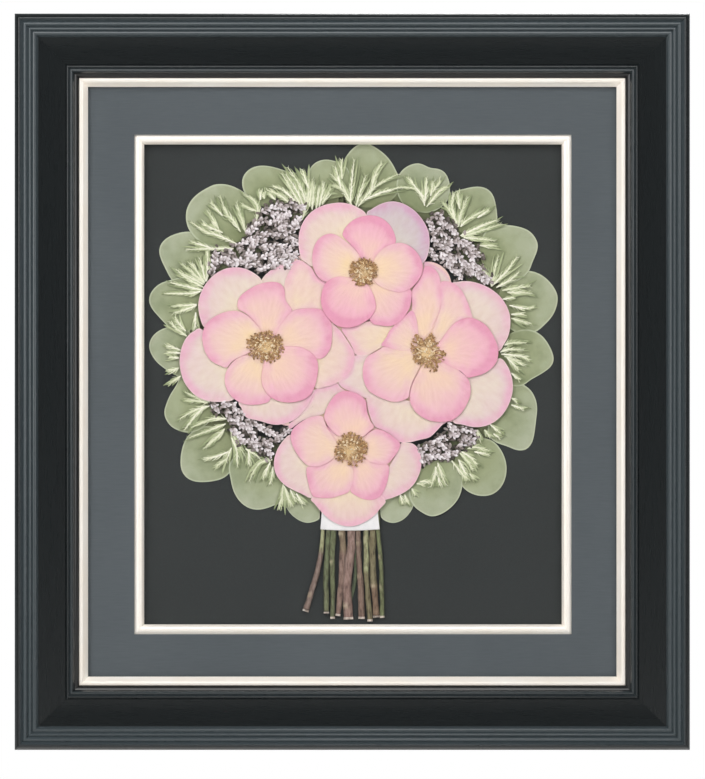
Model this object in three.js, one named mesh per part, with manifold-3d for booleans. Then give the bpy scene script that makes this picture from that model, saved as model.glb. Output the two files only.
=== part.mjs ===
// A pressed-flower bouquet in a deep black frame: reeded moulding, silver fillets,
// a slate mat, glass, and a charcoal board that carries leaves, roses and stems.
//
// Millimetres, +Z up, the picture faces -Y, the wall is the plane y = 0. The
// origin is where the wall's nail carries the hanger. "Height" below always means
// how far forward of the back of the moulding a surface lies.
import * as THREE from "three";
import { mergeVertices } from "three/addons/utils/BufferGeometryUtils.js";
import Module from "manifold-3d";

const wasm = await Module();
wasm.setup();

// ---------------------------------------------------------------- dimensions
const FRAME_WIDTH = 507;
const FRAME_HEIGHT = 553;
const BUMPER_DEPTH = 3; // the moulding's back stands this far off the wall
const NAIL_BELOW_TOP = 24;

const RAIL_WIDTH = 48;
const RABBET_WIDTH = 6;
const RABBET_DEPTH = 16;
const SHEET_CLEARANCE = 1; // between the rabbet's wall and the edge of a sheet
const JOIN_GAP = 0.3; // between pieces that are cut to meet
const FACE_GAP = 0.25; // between flat faces that would otherwise touch

// Heights of the stack of sheets, from the back of the rabbet to the glass.
const BACKING = [0, 3];
const MOUNT_BOARD = [3, 4.5];
const SPACER = [4.5, 11];
const MAT = [11, 12.5];
const GLASS = [12.5, 14.5];
const SPACER_WIDTH = 8;
const PAPER_THICKNESS = 0.25;
const PAPER_MARGIN = 3;

// The window cut in the mat, and the strip of fillet inside it.
const WINDOW = { left: -164, right: 165, bottom: -190, top: 186 };

// The bouquet is laid out on a grid of squares, counted from the layout's top
// left corner. The frame's centre is at (CENTRE_COLUMN, CENTRE_ROW).
const GRID = 0.75;
const CENTRE_COLUMN = 352.25;
const CENTRE_ROW = 381.75;

const LEAF_THICKNESS = 0.5;
const CLUSTER = [6, 8.75];
const STEM_HEIGHT = 6; // of a stem's middle
const STEM_THICKNESS = 2;
const WRAP = { left: 320, right: 380, top: 498, bottom: 530.5 };
const WRAP_HEIGHTS = [4.5, 7.5];
const WRAP_THICKNESS = 0.25;
const ROSE_STEPS = { receptacle: 4.5, outer: 7.5, inner: 8.5, centre: 9.75, top: 11.25 };
const RECEPTACLE_RADIUS = 12;

// ----------------------------------------------------------------- materials
const finish = (color, roughness, metalness = 0) =>
  new THREE.MeshStandardMaterial({ color, roughness, metalness });

const MATERIAL = {
  lacquer: finish(0x16181a, 0.35),
  silver: finish(0xefe8da, 0.3, 0.6),
  glass: new THREE.MeshStandardMaterial({
    color: 0xffffff,
    roughness: 0.02,
    transparent: true,
    opacity: 0.15,
  }),
  mat: finish(0x5d6264, 0.95),
  board: finish(0x404343, 0.95),
  spacer: finish(0x22211f, 0.9),
  backing: finish(0xb89a6e, 0.95),
  paper: finish(0xa98458, 0.95),
  steel: finish(0x9a9b9d, 0.4, 0.9),
  bumper: finish(0x3a3a3c, 0.9),
  leaf: finish(0x98a47d, 0.85),
  petal: finish(0xf0c4c0, 0.8),
  floret: finish(0xc8b9be, 0.9),
  ribbon: finish(0xf0f0f3, 0.7),
  stem: finish(0x8b7d68, 0.8),
};

// ------------------------------------------------------------------- helpers
const frame = new THREE.Group();
frame.position.set(0, -BUMPER_DEPTH, NAIL_BELOW_TOP - FRAME_HEIGHT / 2);

function add(name, geometry, material) {
  const mesh = new THREE.Mesh(geometry, material);
  mesh.name = name;
  frame.add(mesh);
  return mesh;
}

// A flat shape drawn in X and Z, as a slab between two heights.
function slab(shape, [back, front]) {
  const geometry = new THREE.ExtrudeGeometry(shape, {
    depth: front - back,
    bevelEnabled: false,
    curveSegments: 8,
  });
  return geometry.translate(0, 0, back).rotateX(Math.PI / 2);
}

function rectangle(left, bottom, right, top) {
  return new THREE.Shape([
    new THREE.Vector2(left, bottom),
    new THREE.Vector2(right, bottom),
    new THREE.Vector2(right, top),
    new THREE.Vector2(left, top),
  ]);
}

function disc(centre, radius, segments = 16) {
  const points = [];
  for (let i = 0; i < segments; i += 1) {
    const turn = (2 * Math.PI * i) / segments;
    points.push(new THREE.Vector2(Math.cos(turn), Math.sin(turn)).multiplyScalar(radius).add(centre));
  }
  return new THREE.Shape(points);
}

// A place on the layout's grid, in millimetres from the frame's centre.
function place([column, row]) {
  return new THREE.Vector2((column - CENTRE_COLUMN) * GRID, (CENTRE_ROW - row) * GRID);
}

// A smooth closed outline through places on the grid.
function outline(places, samples) {
  const knots = places.map(place).map((p) => new THREE.Vector3(p.x, p.y, 0));
  const curve = new THREE.CatmullRomCurve3(knots, true, "centripetal");
  const points = curve.getSpacedPoints(samples).slice(0, samples);
  return new THREE.Shape(points.map((p) => new THREE.Vector2(p.x, p.y)));
}

function toSolid(geometry) {
  const bare = geometry.index ? geometry.toNonIndexed() : geometry.clone();
  bare.deleteAttribute("normal");
  bare.deleteAttribute("uv");
  const merged = mergeVertices(bare, 1e-4);
  return new wasm.Manifold(
    new wasm.Mesh({
      numProp: 3,
      vertProperties: merged.attributes.position.array,
      triVerts: new Uint32Array(merged.index.array),
    }),
  );
}

function toGeometry(solid) {
  const { vertProperties, triVerts } = solid.getMesh();
  const geometry = new THREE.BufferGeometry();
  geometry.setAttribute("position", new THREE.BufferAttribute(vertProperties, 3));
  geometry.setIndex(new THREE.BufferAttribute(triVerts, 1));
  geometry.computeVertexNormals();
  return geometry;
}

const union = (solids) => solids.reduce((whole, solid) => whole.add(solid));

// The largest of the bodies that a cut leaves.
function mainBody(solid) {
  return solid.decompose().reduce((a, b) => (a.volume() > b.volume() ? a : b));
}

// ------------------------------------------------- moulding and both fillets
// A strip runs round a rectangle. Its section is drawn as (inward, height), where
// inward is measured from the rectangle's edge, and its ends are mitred.
function strip(section, width, height) {
  const half = width / 2;
  const geometry = new THREE.ExtrudeGeometry(new THREE.Shape(section), {
    depth: 1,
    bevelEnabled: false,
  });
  const position = geometry.attributes.position;
  for (let i = 0; i < position.count; i += 1) {
    const inward = position.getX(i);
    const end = position.getZ(i) > 0.5 ? -1 : 1;
    const along = end * (half - inward - JOIN_GAP / 2);
    position.setXYZ(i, along, -position.getY(i), height / 2 - inward);
  }
  return geometry;
}

function addStrips(name, section, material, { left, right, bottom, top }) {
  const width = right - left;
  const height = top - bottom;
  const sides = [
    ["top", 0, width, height],
    ["right", 1, height, width],
    ["bottom", 2, width, height],
    ["left", 3, height, width],
  ];
  for (const [side, quarter, length, across] of sides) {
    const geometry = strip(section, length, across).rotateY((quarter * Math.PI) / 2);
    const mesh = add(`${name}_${side}`, geometry, material);
    mesh.position.set((left + right) / 2, 0, (bottom + top) / 2);
  }
}

const point = (x, y) => new THREE.Vector2(x, y);

// Points over a rounded reed between two places on a section.
function reed([u0, h0], [u1, h1], rise, steps = 6) {
  const points = [];
  for (let i = 0; i < steps; i += 1) {
    const s = i / steps;
    points.push(point(u0 + (u1 - u0) * s, h0 + (h1 - h0) * s + rise * Math.sin(Math.PI * s)));
  }
  return points;
}

// Back, outer side, four reeds stepping down, a shallow cove, two small reeds, the
// sight edge and the rabbet.
const RABBET_WALL = RAIL_WIDTH - RABBET_WIDTH;
const railSection = [
  point(0, 0),
  point(0, 23),
  ...reed([0.4, 25.5], [6.1, 27.75], 3.3, 8),
  ...reed([6.1, 27.75], [10.2, 27], 1.5),
  ...reed([10.2, 27], [13.4, 26.5], 1.2),
  ...reed([13.4, 26.5], [18, 24.4], 1.6),
  ...reed([18, 24.4], [38, 22.9], -1.1, 8),
  point(38, 22.9),
  ...reed([38.4, 22.5], [41.2, 22.4], 1.3),
  ...reed([41.2, 22.4], [45, 20.5], 1.7),
  point(45, 20.5),
  point(RAIL_WIDTH, 19),
  point(RAIL_WIDTH, RABBET_DEPTH),
  point(RABBET_WALL, RABBET_DEPTH),
  point(RABBET_WALL, 0),
];

const outerEdge = {
  left: -FRAME_WIDTH / 2,
  right: FRAME_WIDTH / 2,
  bottom: -FRAME_HEIGHT / 2,
  top: FRAME_HEIGHT / 2,
};
addStrips("rail", railSection, MATERIAL.lacquer, outerEdge);

// The outer fillet lies on the glass, with its flange under the moulding's lip.
const OUTER_FLANGE = 5;
const SIGHT = RAIL_WIDTH + JOIN_GAP;
const outerFilletSection = [
  point(RAIL_WIDTH - OUTER_FLANGE, GLASS[1]),
  point(RAIL_WIDTH + 6.75, GLASS[1]),
  point(RAIL_WIDTH + 6.75, 15.6),
  point(RAIL_WIDTH + 4.6, 16.5),
  point(RAIL_WIDTH + 4.2, 17.5),
  point(RAIL_WIDTH + 1, 18.5),
  point(SIGHT, 18.1),
  point(SIGHT, RABBET_DEPTH - FACE_GAP),
  point(RAIL_WIDTH - OUTER_FLANGE, RABBET_DEPTH - FACE_GAP),
];
addStrips("outer_fillet", outerFilletSection, MATERIAL.silver, outerEdge);

// The inner fillet is glued behind the mat's window and reaches down to just
// above the mount board, so that the tallest leaf slides under it.
const INNER_FLANGE = 5;
const INNER_FACE = 7.25;
const INNER_WALL = 3.25;
const INNER_SKIRT = MOUNT_BOARD[1] + 0.75;
const FLANGE_BACK = 9.5;
const innerFilletSection = [
  point(-INNER_FLANGE, FLANGE_BACK),
  point(INNER_FACE - INNER_WALL, FLANGE_BACK),
  point(INNER_FACE - INNER_WALL, INNER_SKIRT),
  point(INNER_FACE, INNER_SKIRT),
  point(INNER_FACE, 9.75),
  point(5.2, 10.5),
  point(4.8, 11.3),
  point(1.2, 12.2),
  point(JOIN_GAP, 11.9),
  point(JOIN_GAP, MAT[0] - FACE_GAP),
  point(-INNER_FLANGE, MAT[0] - FACE_GAP),
];
addStrips("inner_fillet", innerFilletSection, MATERIAL.silver, WINDOW);

// ------------------------------------------------------- sheets in the rabbet
const sheetHalfWidth = FRAME_WIDTH / 2 - RABBET_WALL - SHEET_CLEARANCE;
const sheetHalfHeight = FRAME_HEIGHT / 2 - RABBET_WALL - SHEET_CLEARANCE;

function sheet(heights, windowHole) {
  const shape = rectangle(-sheetHalfWidth, -sheetHalfHeight, sheetHalfWidth, sheetHalfHeight);
  if (windowHole) shape.holes.push(windowHole);
  return slab(shape, heights);
}

const matWindow = rectangle(WINDOW.left, WINDOW.bottom, WINDOW.right, WINDOW.top);
const insideWidth = sheetHalfWidth - SPACER_WIDTH;
const insideHeight = sheetHalfHeight - SPACER_WIDTH;
const insideSpacer = rectangle(-insideWidth, -insideHeight, insideWidth, insideHeight);
add("glass", sheet(GLASS), MATERIAL.glass);
add("mat", sheet(MAT, matWindow), MATERIAL.mat);
add("spacer", sheet(SPACER, insideSpacer), MATERIAL.spacer);
add("mount_board", sheet(MOUNT_BOARD), MATERIAL.board);
add("backing_board", sheet(BACKING), MATERIAL.backing);

// ------------------------------------------------------- back of the frame
const paperHalfWidth = FRAME_WIDTH / 2 - PAPER_MARGIN;
const paperHalfHeight = FRAME_HEIGHT / 2 - PAPER_MARGIN;
const paperShape = rectangle(-paperHalfWidth, -paperHalfHeight, paperHalfWidth, paperHalfHeight);
add("dust_cover", slab(paperShape, [-PAPER_THICKNESS, 0]), MATERIAL.paper);

// The hanger: two feet flat on the back, and a raised bar with teeth below.
const HANGER_LENGTH = 64;
const HANGER_HEIGHT = 11;
const HANGER_FOOT = 9;
const HANGER_STEEL = 0.75;
const TOOTH_PITCH = 3;
const TOOTH_DEPTH = 1.5;
const TEETH = 15;
const nailHeight = FRAME_HEIGHT / 2 - NAIL_BELOW_TOP;

function hangerBar() {
  const reach = HANGER_LENGTH / 2 - HANGER_FOOT + 1;
  const toothSpan = (TEETH * TOOTH_PITCH) / 2;
  const points = [point(-reach, nailHeight)];
  for (let i = 0; i < TEETH; i += 1) {
    const left = -toothSpan + i * TOOTH_PITCH;
    points.push(point(left, nailHeight - TOOTH_DEPTH));
    points.push(point(left + TOOTH_PITCH / 2, nailHeight));
  }
  points.push(point(toothSpan, nailHeight - TOOTH_DEPTH));
  points.push(point(reach, nailHeight));
  points.push(point(reach, nailHeight + HANGER_HEIGHT - TOOTH_DEPTH));
  points.push(point(-reach, nailHeight + HANGER_HEIGHT - TOOTH_DEPTH));
  const front = -PAPER_THICKNESS - HANGER_STEEL;
  return slab(new THREE.Shape(points), [front - HANGER_STEEL, front]);
}

function hangerFoot(side) {
  const inner = HANGER_LENGTH / 2 - HANGER_FOOT;
  const edges = [side * inner, (side * HANGER_LENGTH) / 2].sort((a, b) => a - b);
  const shape = rectangle(edges[0], nailHeight, edges[1], nailHeight + HANGER_HEIGHT - TOOTH_DEPTH);
  const back = side * (inner + 0.5);
  const riser = rectangle(back - 0.5, nailHeight, back + 0.5, nailHeight + HANGER_HEIGHT - TOOTH_DEPTH);
  const foot = toSolid(slab(shape, [-PAPER_THICKNESS - HANGER_STEEL, -PAPER_THICKNESS]));
  return foot.add(toSolid(slab(riser, [-PAPER_THICKNESS - 2 * HANGER_STEEL, -PAPER_THICKNESS])));
}

const hanger = union([toSolid(hangerBar()), hangerFoot(-1), hangerFoot(1)]);
add("sawtooth_hanger", toGeometry(hanger), MATERIAL.steel);

const BUMPER_RADIUS = 5;
const BUMPER_INSET = 15;
for (const [name, side] of [["bumper_left", -1], ["bumper_right", 1]]) {
  const x = side * (FRAME_WIDTH / 2 - BUMPER_INSET);
  const centre = point(x, BUMPER_INSET - FRAME_HEIGHT / 2);
  const heights = [-BUMPER_DEPTH, -PAPER_THICKNESS];
  add(name, slab(disc(centre, BUMPER_RADIUS, 24), heights), MATERIAL.bumper);
}

// -------------------------------------------------------------------- stems
// Each stem: its width in grid squares, then the places its middle runs through.
const STEMS = [
  [4.8, [323.2, 510], [322.9, 532], [320.8, 553], [317, 573], [311.5, 592], [305.3, 612.5]],
  [4.4, [328, 510], [328.1, 532], [327.4, 553], [326, 575], [325.9, 595], [326.2, 614.5]],
  [4.6, [334, 510], [333.8, 532], [332.9, 550], [332.4, 570], [332.6, 590], [332.6, 620]],
  [4.8, [342.5, 510], [342.3, 532], [343.2, 550], [342, 565], [340.6, 590], [337.9, 617]],
  [6.6, [351.6, 510], [352, 532], [351.4, 550], [348.4, 568], [347, 590], [348.6, 620.5]],
  [4, [358.4, 510], [358.4, 532], [358.7, 550], [359, 568], [361, 590], [361.3, 620]],
  [4.2, [365.8, 510], [366, 532], [366.4, 558], [366.4, 575], [367.8, 595], [370, 622.5]],
  [5, [372.8, 510], [372.8, 532], [372.6, 555], [373.2, 575], [375, 598], [376.6, 618.5]],
  [3, [377.8, 510], [377.9, 532], [379.6, 550], [381, 568], [382, 590], [382.2, 619]],
];

function stem([width, ...places]) {
  const knots = places.map(place).map((p) => new THREE.Vector3(p.x, -STEM_HEIGHT, p.y));
  const section = [];
  for (let i = 0; i < 8; i += 1) {
    const turn = (Math.PI * i) / 4;
    const acrossDepth = (Math.cos(turn) * STEM_THICKNESS) / 2;
    const acrossWidth = (Math.sin(turn) * width * GRID) / 2;
    section.push(point(acrossDepth, acrossWidth));
  }
  return new THREE.ExtrudeGeometry(new THREE.Shape(section), {
    extrudePath: new THREE.CatmullRomCurve3(knots),
    steps: 9,
    bevelEnabled: false,
  });
}

STEMS.forEach((spec, i) => {
  add(`stem_${i + 1}`, stem(spec), MATERIAL.stem);
});

// The white band wrapped round the stems.
const wrapTop = place([WRAP.left, WRAP.top]);
const wrapBottom = place([WRAP.right, WRAP.bottom]);

function band(inset) {
  const [back, front] = WRAP_HEIGHTS;
  return rectangle(wrapTop.x + inset, -front + inset, wrapBottom.x - inset, -back - inset);
}

const wrapShape = band(0);
wrapShape.holes.push(band(WRAP_THICKNESS));
const wrap = new THREE.ExtrudeGeometry(wrapShape, {
  depth: wrapTop.y - wrapBottom.y,
  bevelEnabled: false,
});
add("stem_wrap", wrap.translate(0, 0, wrapBottom.y), MATERIAL.ribbon);

// ------------------------------------------------------------------- leaves
// Clockwise round the bouquet. Each has its layer on the board, and neighbours lie
// on different layers because their edges overlap.
const LEAVES = [
  ["leaf_top", 0, [345, 157], [350, 150], [356, 144.5], [364, 141.5], [372, 144], [379, 148.5],
    [386, 154], [392, 161.5], [396, 169], [399.5, 178], [398, 192], [386, 203], [366, 207],
    [352, 202], [343, 190], [340, 172]],
  ["leaf_top_right_1", 1, [398, 176], [403, 168.5], [410, 164], [418, 162], [425, 164], [430, 167],
    [438, 167.5], [445, 171], [449, 178], [450.5, 187], [449, 198], [441, 207], [428, 212],
    [414, 210], [403, 203], [397, 190]],
  ["leaf_top_right_2", 0, [450, 197], [455, 190.5], [463, 188.3], [473, 186], [482, 185.8],
    [489, 188.5], [494, 194.5], [496.5, 204], [498, 216], [497, 228], [486, 238], [470, 238],
    [456, 226], [448, 210]],
  ["leaf_top_right_3", 1, [494, 222], [503, 224], [512, 224.6], [522, 226.5], [530, 230],
    [536, 236.5], [539, 244], [537.5, 252], [533.5, 261], [529, 272], [517, 281], [500, 283],
    [486, 270], [480, 250], [484, 234]],
  ["leaf_right_1", 0, [512, 274], [521, 270.5], [531, 270.3], [541, 273.5], [549, 279.5], [555, 287],
    [558.7, 295], [558, 305], [553.5, 315.5], [546, 324], [537, 331.5], [524, 334], [510, 328],
    [501, 312], [500, 292]],
  ["leaf_right_2", 1, [526, 329], [536, 331], [544, 336.5], [550, 345], [554, 354], [554.8, 361],
    [551.5, 367], [541, 374.5], [531, 380], [523, 386], [510, 385], [500, 372], [497, 352],
    [506, 336]],
  ["leaf_right_3", 0, [514, 381], [525, 385], [532, 390.5], [536.5, 399], [538.2, 408], [537, 420],
    [535.5, 432], [533, 443], [527, 450], [518, 450.7], [508, 446.5], [498, 443.5], [489, 436],
    [490, 420], [500, 406], [506, 390]],
  ["leaf_low_right_3", 1, [484, 438], [494, 441.5], [501, 449], [505.5, 458], [507.4, 467],
    [506.3, 478], [502, 487.5], [494, 494.5], [484, 496.7], [473, 494.5], [463.5, 488],
    [457, 476], [455, 460], [462, 447], [472, 439]],
  ["leaf_low_right_2", 2, [460, 466], [463, 478], [462.5, 489], [459, 499], [451, 508.5],
    [442, 514.5], [432, 517.3], [423, 513.5], [414, 506.5], [409, 495], [412, 480], [424, 467],
    [442, 460]],
  ["leaf_low_right_1", 1, [380, 505], [379.3, 514], [383, 520], [390, 523.3], [397, 523.2],
    [404, 519.8], [410, 513.5], [414, 506], [417, 494], [410, 484], [396, 482], [385, 490]],
  ["leaf_low_left_1", 0, [283, 497], [285.5, 507], [291, 515], [298.5, 520.8], [306.5, 523.5],
    [314, 522.3], [319.3, 519.5], [319.5, 510], [313, 500], [305, 492], [293, 486], [285, 488]],
  ["leaf_low_left_2", 1, [228, 466], [229.8, 478], [232, 489], [236.5, 498.5], [243, 505.5],
    [250, 509.3], [258, 510.4], [267, 508.6], [276, 505], [283, 503.5], [287, 494], [284, 480],
    [272, 466], [254, 456], [238, 454]],
  ["leaf_low_left_3", 0, [190, 433], [184.5, 440], [181.2, 449], [179.6, 460], [180.5, 470.5],
    [185.5, 478], [193, 481.8], [203, 482.6], [213, 481.5], [222, 479], [229, 473.5], [235, 460],
    [234, 444], [222, 430], [205, 426]],
  ["leaf_left_3", 1, [181, 376], [175, 386], [169.5, 394.5], [165.8, 403], [163.2, 412],
    [164.5, 418.5], [170, 426.5], [177, 430.5], [186, 433], [199, 430], [211, 418], [212, 402],
    [202, 388], [190, 378]],
  ["leaf_left_2", 0, [176, 325], [166, 327], [157, 331], [150.5, 337.5], [148, 345], [149.8, 353],
    [155, 361], [163, 368], [171, 373], [180, 377.5], [190, 374], [194, 358], [193, 340],
    [186, 328]],
  ["leaf_left_1", 1, [182, 277], [170, 279.5], [160, 282.5], [152.5, 288.5], [148.3, 296],
    [148.2, 302.5], [151.5, 309], [157.5, 316], [164, 323], [172, 331], [184, 334], [196, 322],
    [200, 304], [198, 288]],
  ["leaf_top_left_4", 0, [196, 232], [186, 230.8], [175, 233], [165.5, 237.5], [159.8, 243.5],
    [158, 250], [160, 258.5], [164, 267], [169.5, 277.5], [178, 287], [192, 290], [204, 284],
    [209, 268], [208, 250], [204, 238]],
  ["leaf_top_left_3", 1, [188, 229], [185.2, 220], [185, 212], [187.5, 204], [192, 197.3],
    [198.5, 191.5], [206, 187.3], [212, 183.9], [220, 182.8], [229, 184], [238, 188], [246, 193],
    [254, 200], [258, 212], [253, 228], [241, 240], [224, 247], [206, 245], [195, 238]],
  ["leaf_top_left_2", 0, [246, 196], [241.8, 186], [241.6, 178], [245, 171.5], [252, 166.3],
    [261, 164.4], [270, 165.3], [280, 168], [291, 171.5], [301, 172], [308, 177], [309, 190],
    [303, 204], [288, 212], [268, 212], [254, 206]],
  ["leaf_top_left_1", 1, [308.5, 178], [309.5, 168], [314, 162.5], [320, 159.3], [327, 158.4],
    [334, 159.8], [341, 162], [348, 168], [351, 182], [346, 194], [334, 197.5], [320, 200],
    [311, 196]],
];
const LEAF_SAMPLES = 36;

const roomForWrap = toSolid(
  slab(
    rectangle(
      wrapTop.x - JOIN_GAP,
      wrapBottom.y - JOIN_GAP,
      wrapBottom.x + JOIN_GAP,
      wrapTop.y + JOIN_GAP,
    ),
    [MOUNT_BOARD[1] - 1, ROSE_STEPS.outer],
  ),
);

for (const [name, layer, ...places] of LEAVES) {
  const back = MOUNT_BOARD[1] + layer * LEAF_THICKNESS;
  const whole = toSolid(slab(outline(places, LEAF_SAMPLES), [back, back + LEAF_THICKNESS]));
  add(name, toGeometry(mainBody(whole.subtract(roomForWrap))), MATERIAL.leaf);
}

// -------------------------------------------------------------------- roses
// Each rose: its centre, the radius of its stamens, then the petals of its inner
// and outer rings as [tip column, tip row, width], all in grid squares.
const ROSES = [
  {
    name: "rose_top",
    centre: [363.7, 271.6],
    stamens: 14.5,
    inner: [[369.5, 214, 53], [314, 247, 51], [334, 321, 53], [403, 316, 50], [423, 267, 49]],
    outer: [[307, 215, 78], [421, 215, 76]],
  },
  {
    name: "rose_bottom",
    centre: [350.7, 449],
    stamens: 17,
    inner: [[350, 391.5, 48], [293, 436, 50], [318, 498, 46], [377, 500, 42], [399, 448, 38]],
    outer: [[275, 470, 62], [349, 527, 72], [421, 469, 60], [316, 392, 46]],
  },
  {
    name: "rose_left",
    centre: [264, 347],
    stamens: 18,
    inner: [[203, 340, 54], [268, 283, 50], [330, 322, 46], [306, 398, 55], [235, 400, 48]],
    outer: [[213, 274, 64], [186, 386, 74], [277, 425, 70], [283, 264, 40], [308, 262, 46], [353, 362, 62]],
  },
  {
    name: "rose_right",
    centre: [425.5, 353.7],
    stamens: 18,
    inner: [[462, 287, 48], [499, 352, 54], [440, 421.5, 60], [368, 384, 50], [425, 268, 40]],
    outer: [[444, 268, 36], [503, 297, 66], [505, 413, 72], [401, 443, 68], [341, 334, 40], [341, 382, 40]],
  },
];

// A petal seen flat: a narrow base at the rose's centre, widest near the tip.
// Swelling it all round by a gap gives the room that its neighbour keeps clear.
function petalShape(centre, [column, row, width], gap = 0) {
  const from = place(centre);
  const reach = place([column, row]).sub(from);
  const long = reach.length() + gap;
  const half = (width * GRID) / 2 + gap;
  const path = new THREE.Path();
  path.moveTo(0, -gap);
  path.bezierCurveTo(half * 0.5, -gap, half, long * 0.35, half, long * 0.62);
  path.bezierCurveTo(half, long * 0.88, half * 0.5, long, 0, long);
  path.bezierCurveTo(-half * 0.5, long, -half, long * 0.88, -half, long * 0.62);
  path.bezierCurveTo(-half, long * 0.35, -half * 0.5, -gap, 0, -gap);
  const turn = reach.angle() - Math.PI / 2;
  const points = path.getPoints(5).slice(0, -1);
  return new THREE.Shape(points.map((p) => p.rotateAround(point(0, 0), turn).add(from)));
}

function roseSolid({ centre, stamens, inner, outer }) {
  const { receptacle, outer: outerBack, inner: innerBack, centre: centreBack, top } = ROSE_STEPS;
  const middle = place(centre);
  const petals = [
    ...outer.map((petal) => slab(petalShape(centre, petal), [outerBack, innerBack])),
    ...inner.map((petal) => slab(petalShape(centre, petal), [outerBack, centreBack])),
  ];
  return union([
    toSolid(slab(disc(middle, RECEPTACLE_RADIUS), [receptacle, innerBack])),
    toSolid(slab(disc(middle, stamens * GRID), [innerBack, top])),
    ...petals.map(toSolid),
  ]);
}

function roomForRose({ centre, inner, outer }) {
  const heights = [MOUNT_BOARD[1] - 1, ROSE_STEPS.top + 1];
  const petals = [...inner, ...outer];
  return union(petals.map((petal) => toSolid(slab(petalShape(centre, petal, JOIN_GAP), heights))));
}

const rooms = [];
for (const rose of ROSES) {
  const cut = rooms.reduce((solid, room) => solid.subtract(room), roseSolid(rose));
  add(rose.name, toGeometry(mainBody(cut)), MATERIAL.petal);
  rooms.push(roomForRose(rose));
}

// ----------------------------------------------------- clusters of florets
const CLUSTERS = [
  ["florets_top_left", [208, 274], [209, 258], [219, 249], [232, 243], [243, 231], [255, 218],
    [266, 205.5], [285, 203], [301, 204], [302, 225], [302, 245], [304, 262], [284, 268],
    [262, 280], [243, 272], [225, 272]],
  ["florets_top_right", [423, 214], [437, 209.5], [448, 214.5], [458, 229], [470, 237], [481, 246],
    [482, 262], [492, 284], [478, 288], [460, 286], [446, 280], [432, 268], [424, 258],
    [426, 238], [423, 224]],
  ["florets_low_left", [210, 402], [222, 398], [236, 396], [246, 410], [262, 418], [288, 418],
    [293, 430], [284, 441], [276, 454], [266, 460], [247, 450], [234, 444], [228, 426], [218, 413]],
  ["florets_low_right", [412, 441], [428, 436], [438, 426], [448, 418], [462, 421], [477, 426],
    [478, 440], [466, 449], [458, 460], [440, 463], [422, 463], [417, 452]],
];
const CLUSTER_SAMPLES = 36;

for (const [name, ...places] of CLUSTERS) {
  const whole = toSolid(slab(outline(places, CLUSTER_SAMPLES), CLUSTER));
  const cut = rooms.reduce((solid, room) => solid.subtract(room), whole);
  add(name, toGeometry(mainBody(cut)), MATERIAL.floret);
}

export default frame;
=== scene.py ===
import math
import random

import bmesh
import bpy
from mathutils import Matrix, Vector, noise
from mathutils.geometry import interpolate_bezier


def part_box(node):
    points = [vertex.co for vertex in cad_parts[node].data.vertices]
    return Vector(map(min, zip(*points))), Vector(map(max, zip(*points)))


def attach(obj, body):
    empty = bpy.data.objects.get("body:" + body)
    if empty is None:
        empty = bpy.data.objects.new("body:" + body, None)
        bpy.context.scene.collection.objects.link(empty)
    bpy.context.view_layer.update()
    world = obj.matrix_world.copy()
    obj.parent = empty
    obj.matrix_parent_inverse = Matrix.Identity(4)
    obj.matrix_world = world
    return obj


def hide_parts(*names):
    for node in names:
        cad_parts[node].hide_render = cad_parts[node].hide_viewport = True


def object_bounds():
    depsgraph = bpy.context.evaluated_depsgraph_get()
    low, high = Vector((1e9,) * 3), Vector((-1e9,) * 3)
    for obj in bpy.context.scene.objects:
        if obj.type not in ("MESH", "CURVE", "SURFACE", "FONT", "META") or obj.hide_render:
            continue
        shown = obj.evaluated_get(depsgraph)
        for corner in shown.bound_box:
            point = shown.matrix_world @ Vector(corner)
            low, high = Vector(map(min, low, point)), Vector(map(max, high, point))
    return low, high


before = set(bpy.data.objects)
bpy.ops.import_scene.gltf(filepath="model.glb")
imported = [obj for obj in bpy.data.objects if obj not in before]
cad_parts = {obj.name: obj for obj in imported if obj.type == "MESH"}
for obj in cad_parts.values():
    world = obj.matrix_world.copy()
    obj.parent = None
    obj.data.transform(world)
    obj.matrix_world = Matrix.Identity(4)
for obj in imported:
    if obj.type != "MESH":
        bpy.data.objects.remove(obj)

cad_low, cad_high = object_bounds()

# ------------------------------------------------------------------ camera
# The picture hangs on a wall and is looked at square on, from well back and from
# level with a point a little below the frame's middle.
MM = 0.001
VIEW_WIDTH, VIEW_HEIGHT = 705, 779  # the view's own squares, 0.75 mm on the frame's front
SQUARE = 0.75 * MM
VIEW_DISTANCE = 5.0
SENSOR = 36.0
FRAME_CENTRE = (cad_low + cad_high) / 2
CENTRE_COLUMN, CENTRE_ROW = 352.25, 381.75  # the square that the frame's centre lies on

aim = Vector((
    FRAME_CENTRE.x + (VIEW_WIDTH / 2 - CENTRE_COLUMN) * SQUARE,
    cad_low.y,
    FRAME_CENTRE.z - (VIEW_HEIGHT / 2 - CENTRE_ROW) * SQUARE,
))
lens = bpy.data.cameras.new("camera")
lens.sensor_fit = "VERTICAL"
lens.sensor_height = SENSOR
lens.lens = SENSOR * VIEW_DISTANCE / (VIEW_HEIGHT * SQUARE)
lens.clip_end = 50
camera = bpy.data.objects.new("camera", lens)
camera.location = aim - Vector((0, VIEW_DISTANCE, 0))
camera.rotation_euler = (math.pi / 2, 0, 0)
bpy.context.scene.collection.objects.link(camera)
bpy.context.scene.camera = camera
bpy.context.scene.view_settings.view_transform = "Standard"

# ------------------------------------------------------- floor and soft light
# A pale studio floor below the frame, three wide soft lights well off to the
# sides so that none shines back from the glass, and one behind for the back.
FLOOR_LEVEL = -0.70
FLOOR_BACK = 2.4
FLOOR_FRONT = -3.4
FLOOR_HALF_WIDTH = 3.4


def colour(red, green, blue):
    """A colour in the 0 to 255 steps of a paint chart, as the linear values of a shader."""
    steps = [step / 255 for step in (red, green, blue)]
    linear = [s / 12.92 if s <= 0.04045 else ((s + 0.055) / 1.055) ** 2.4 for s in steps]
    return (*linear, 1.0)


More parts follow.
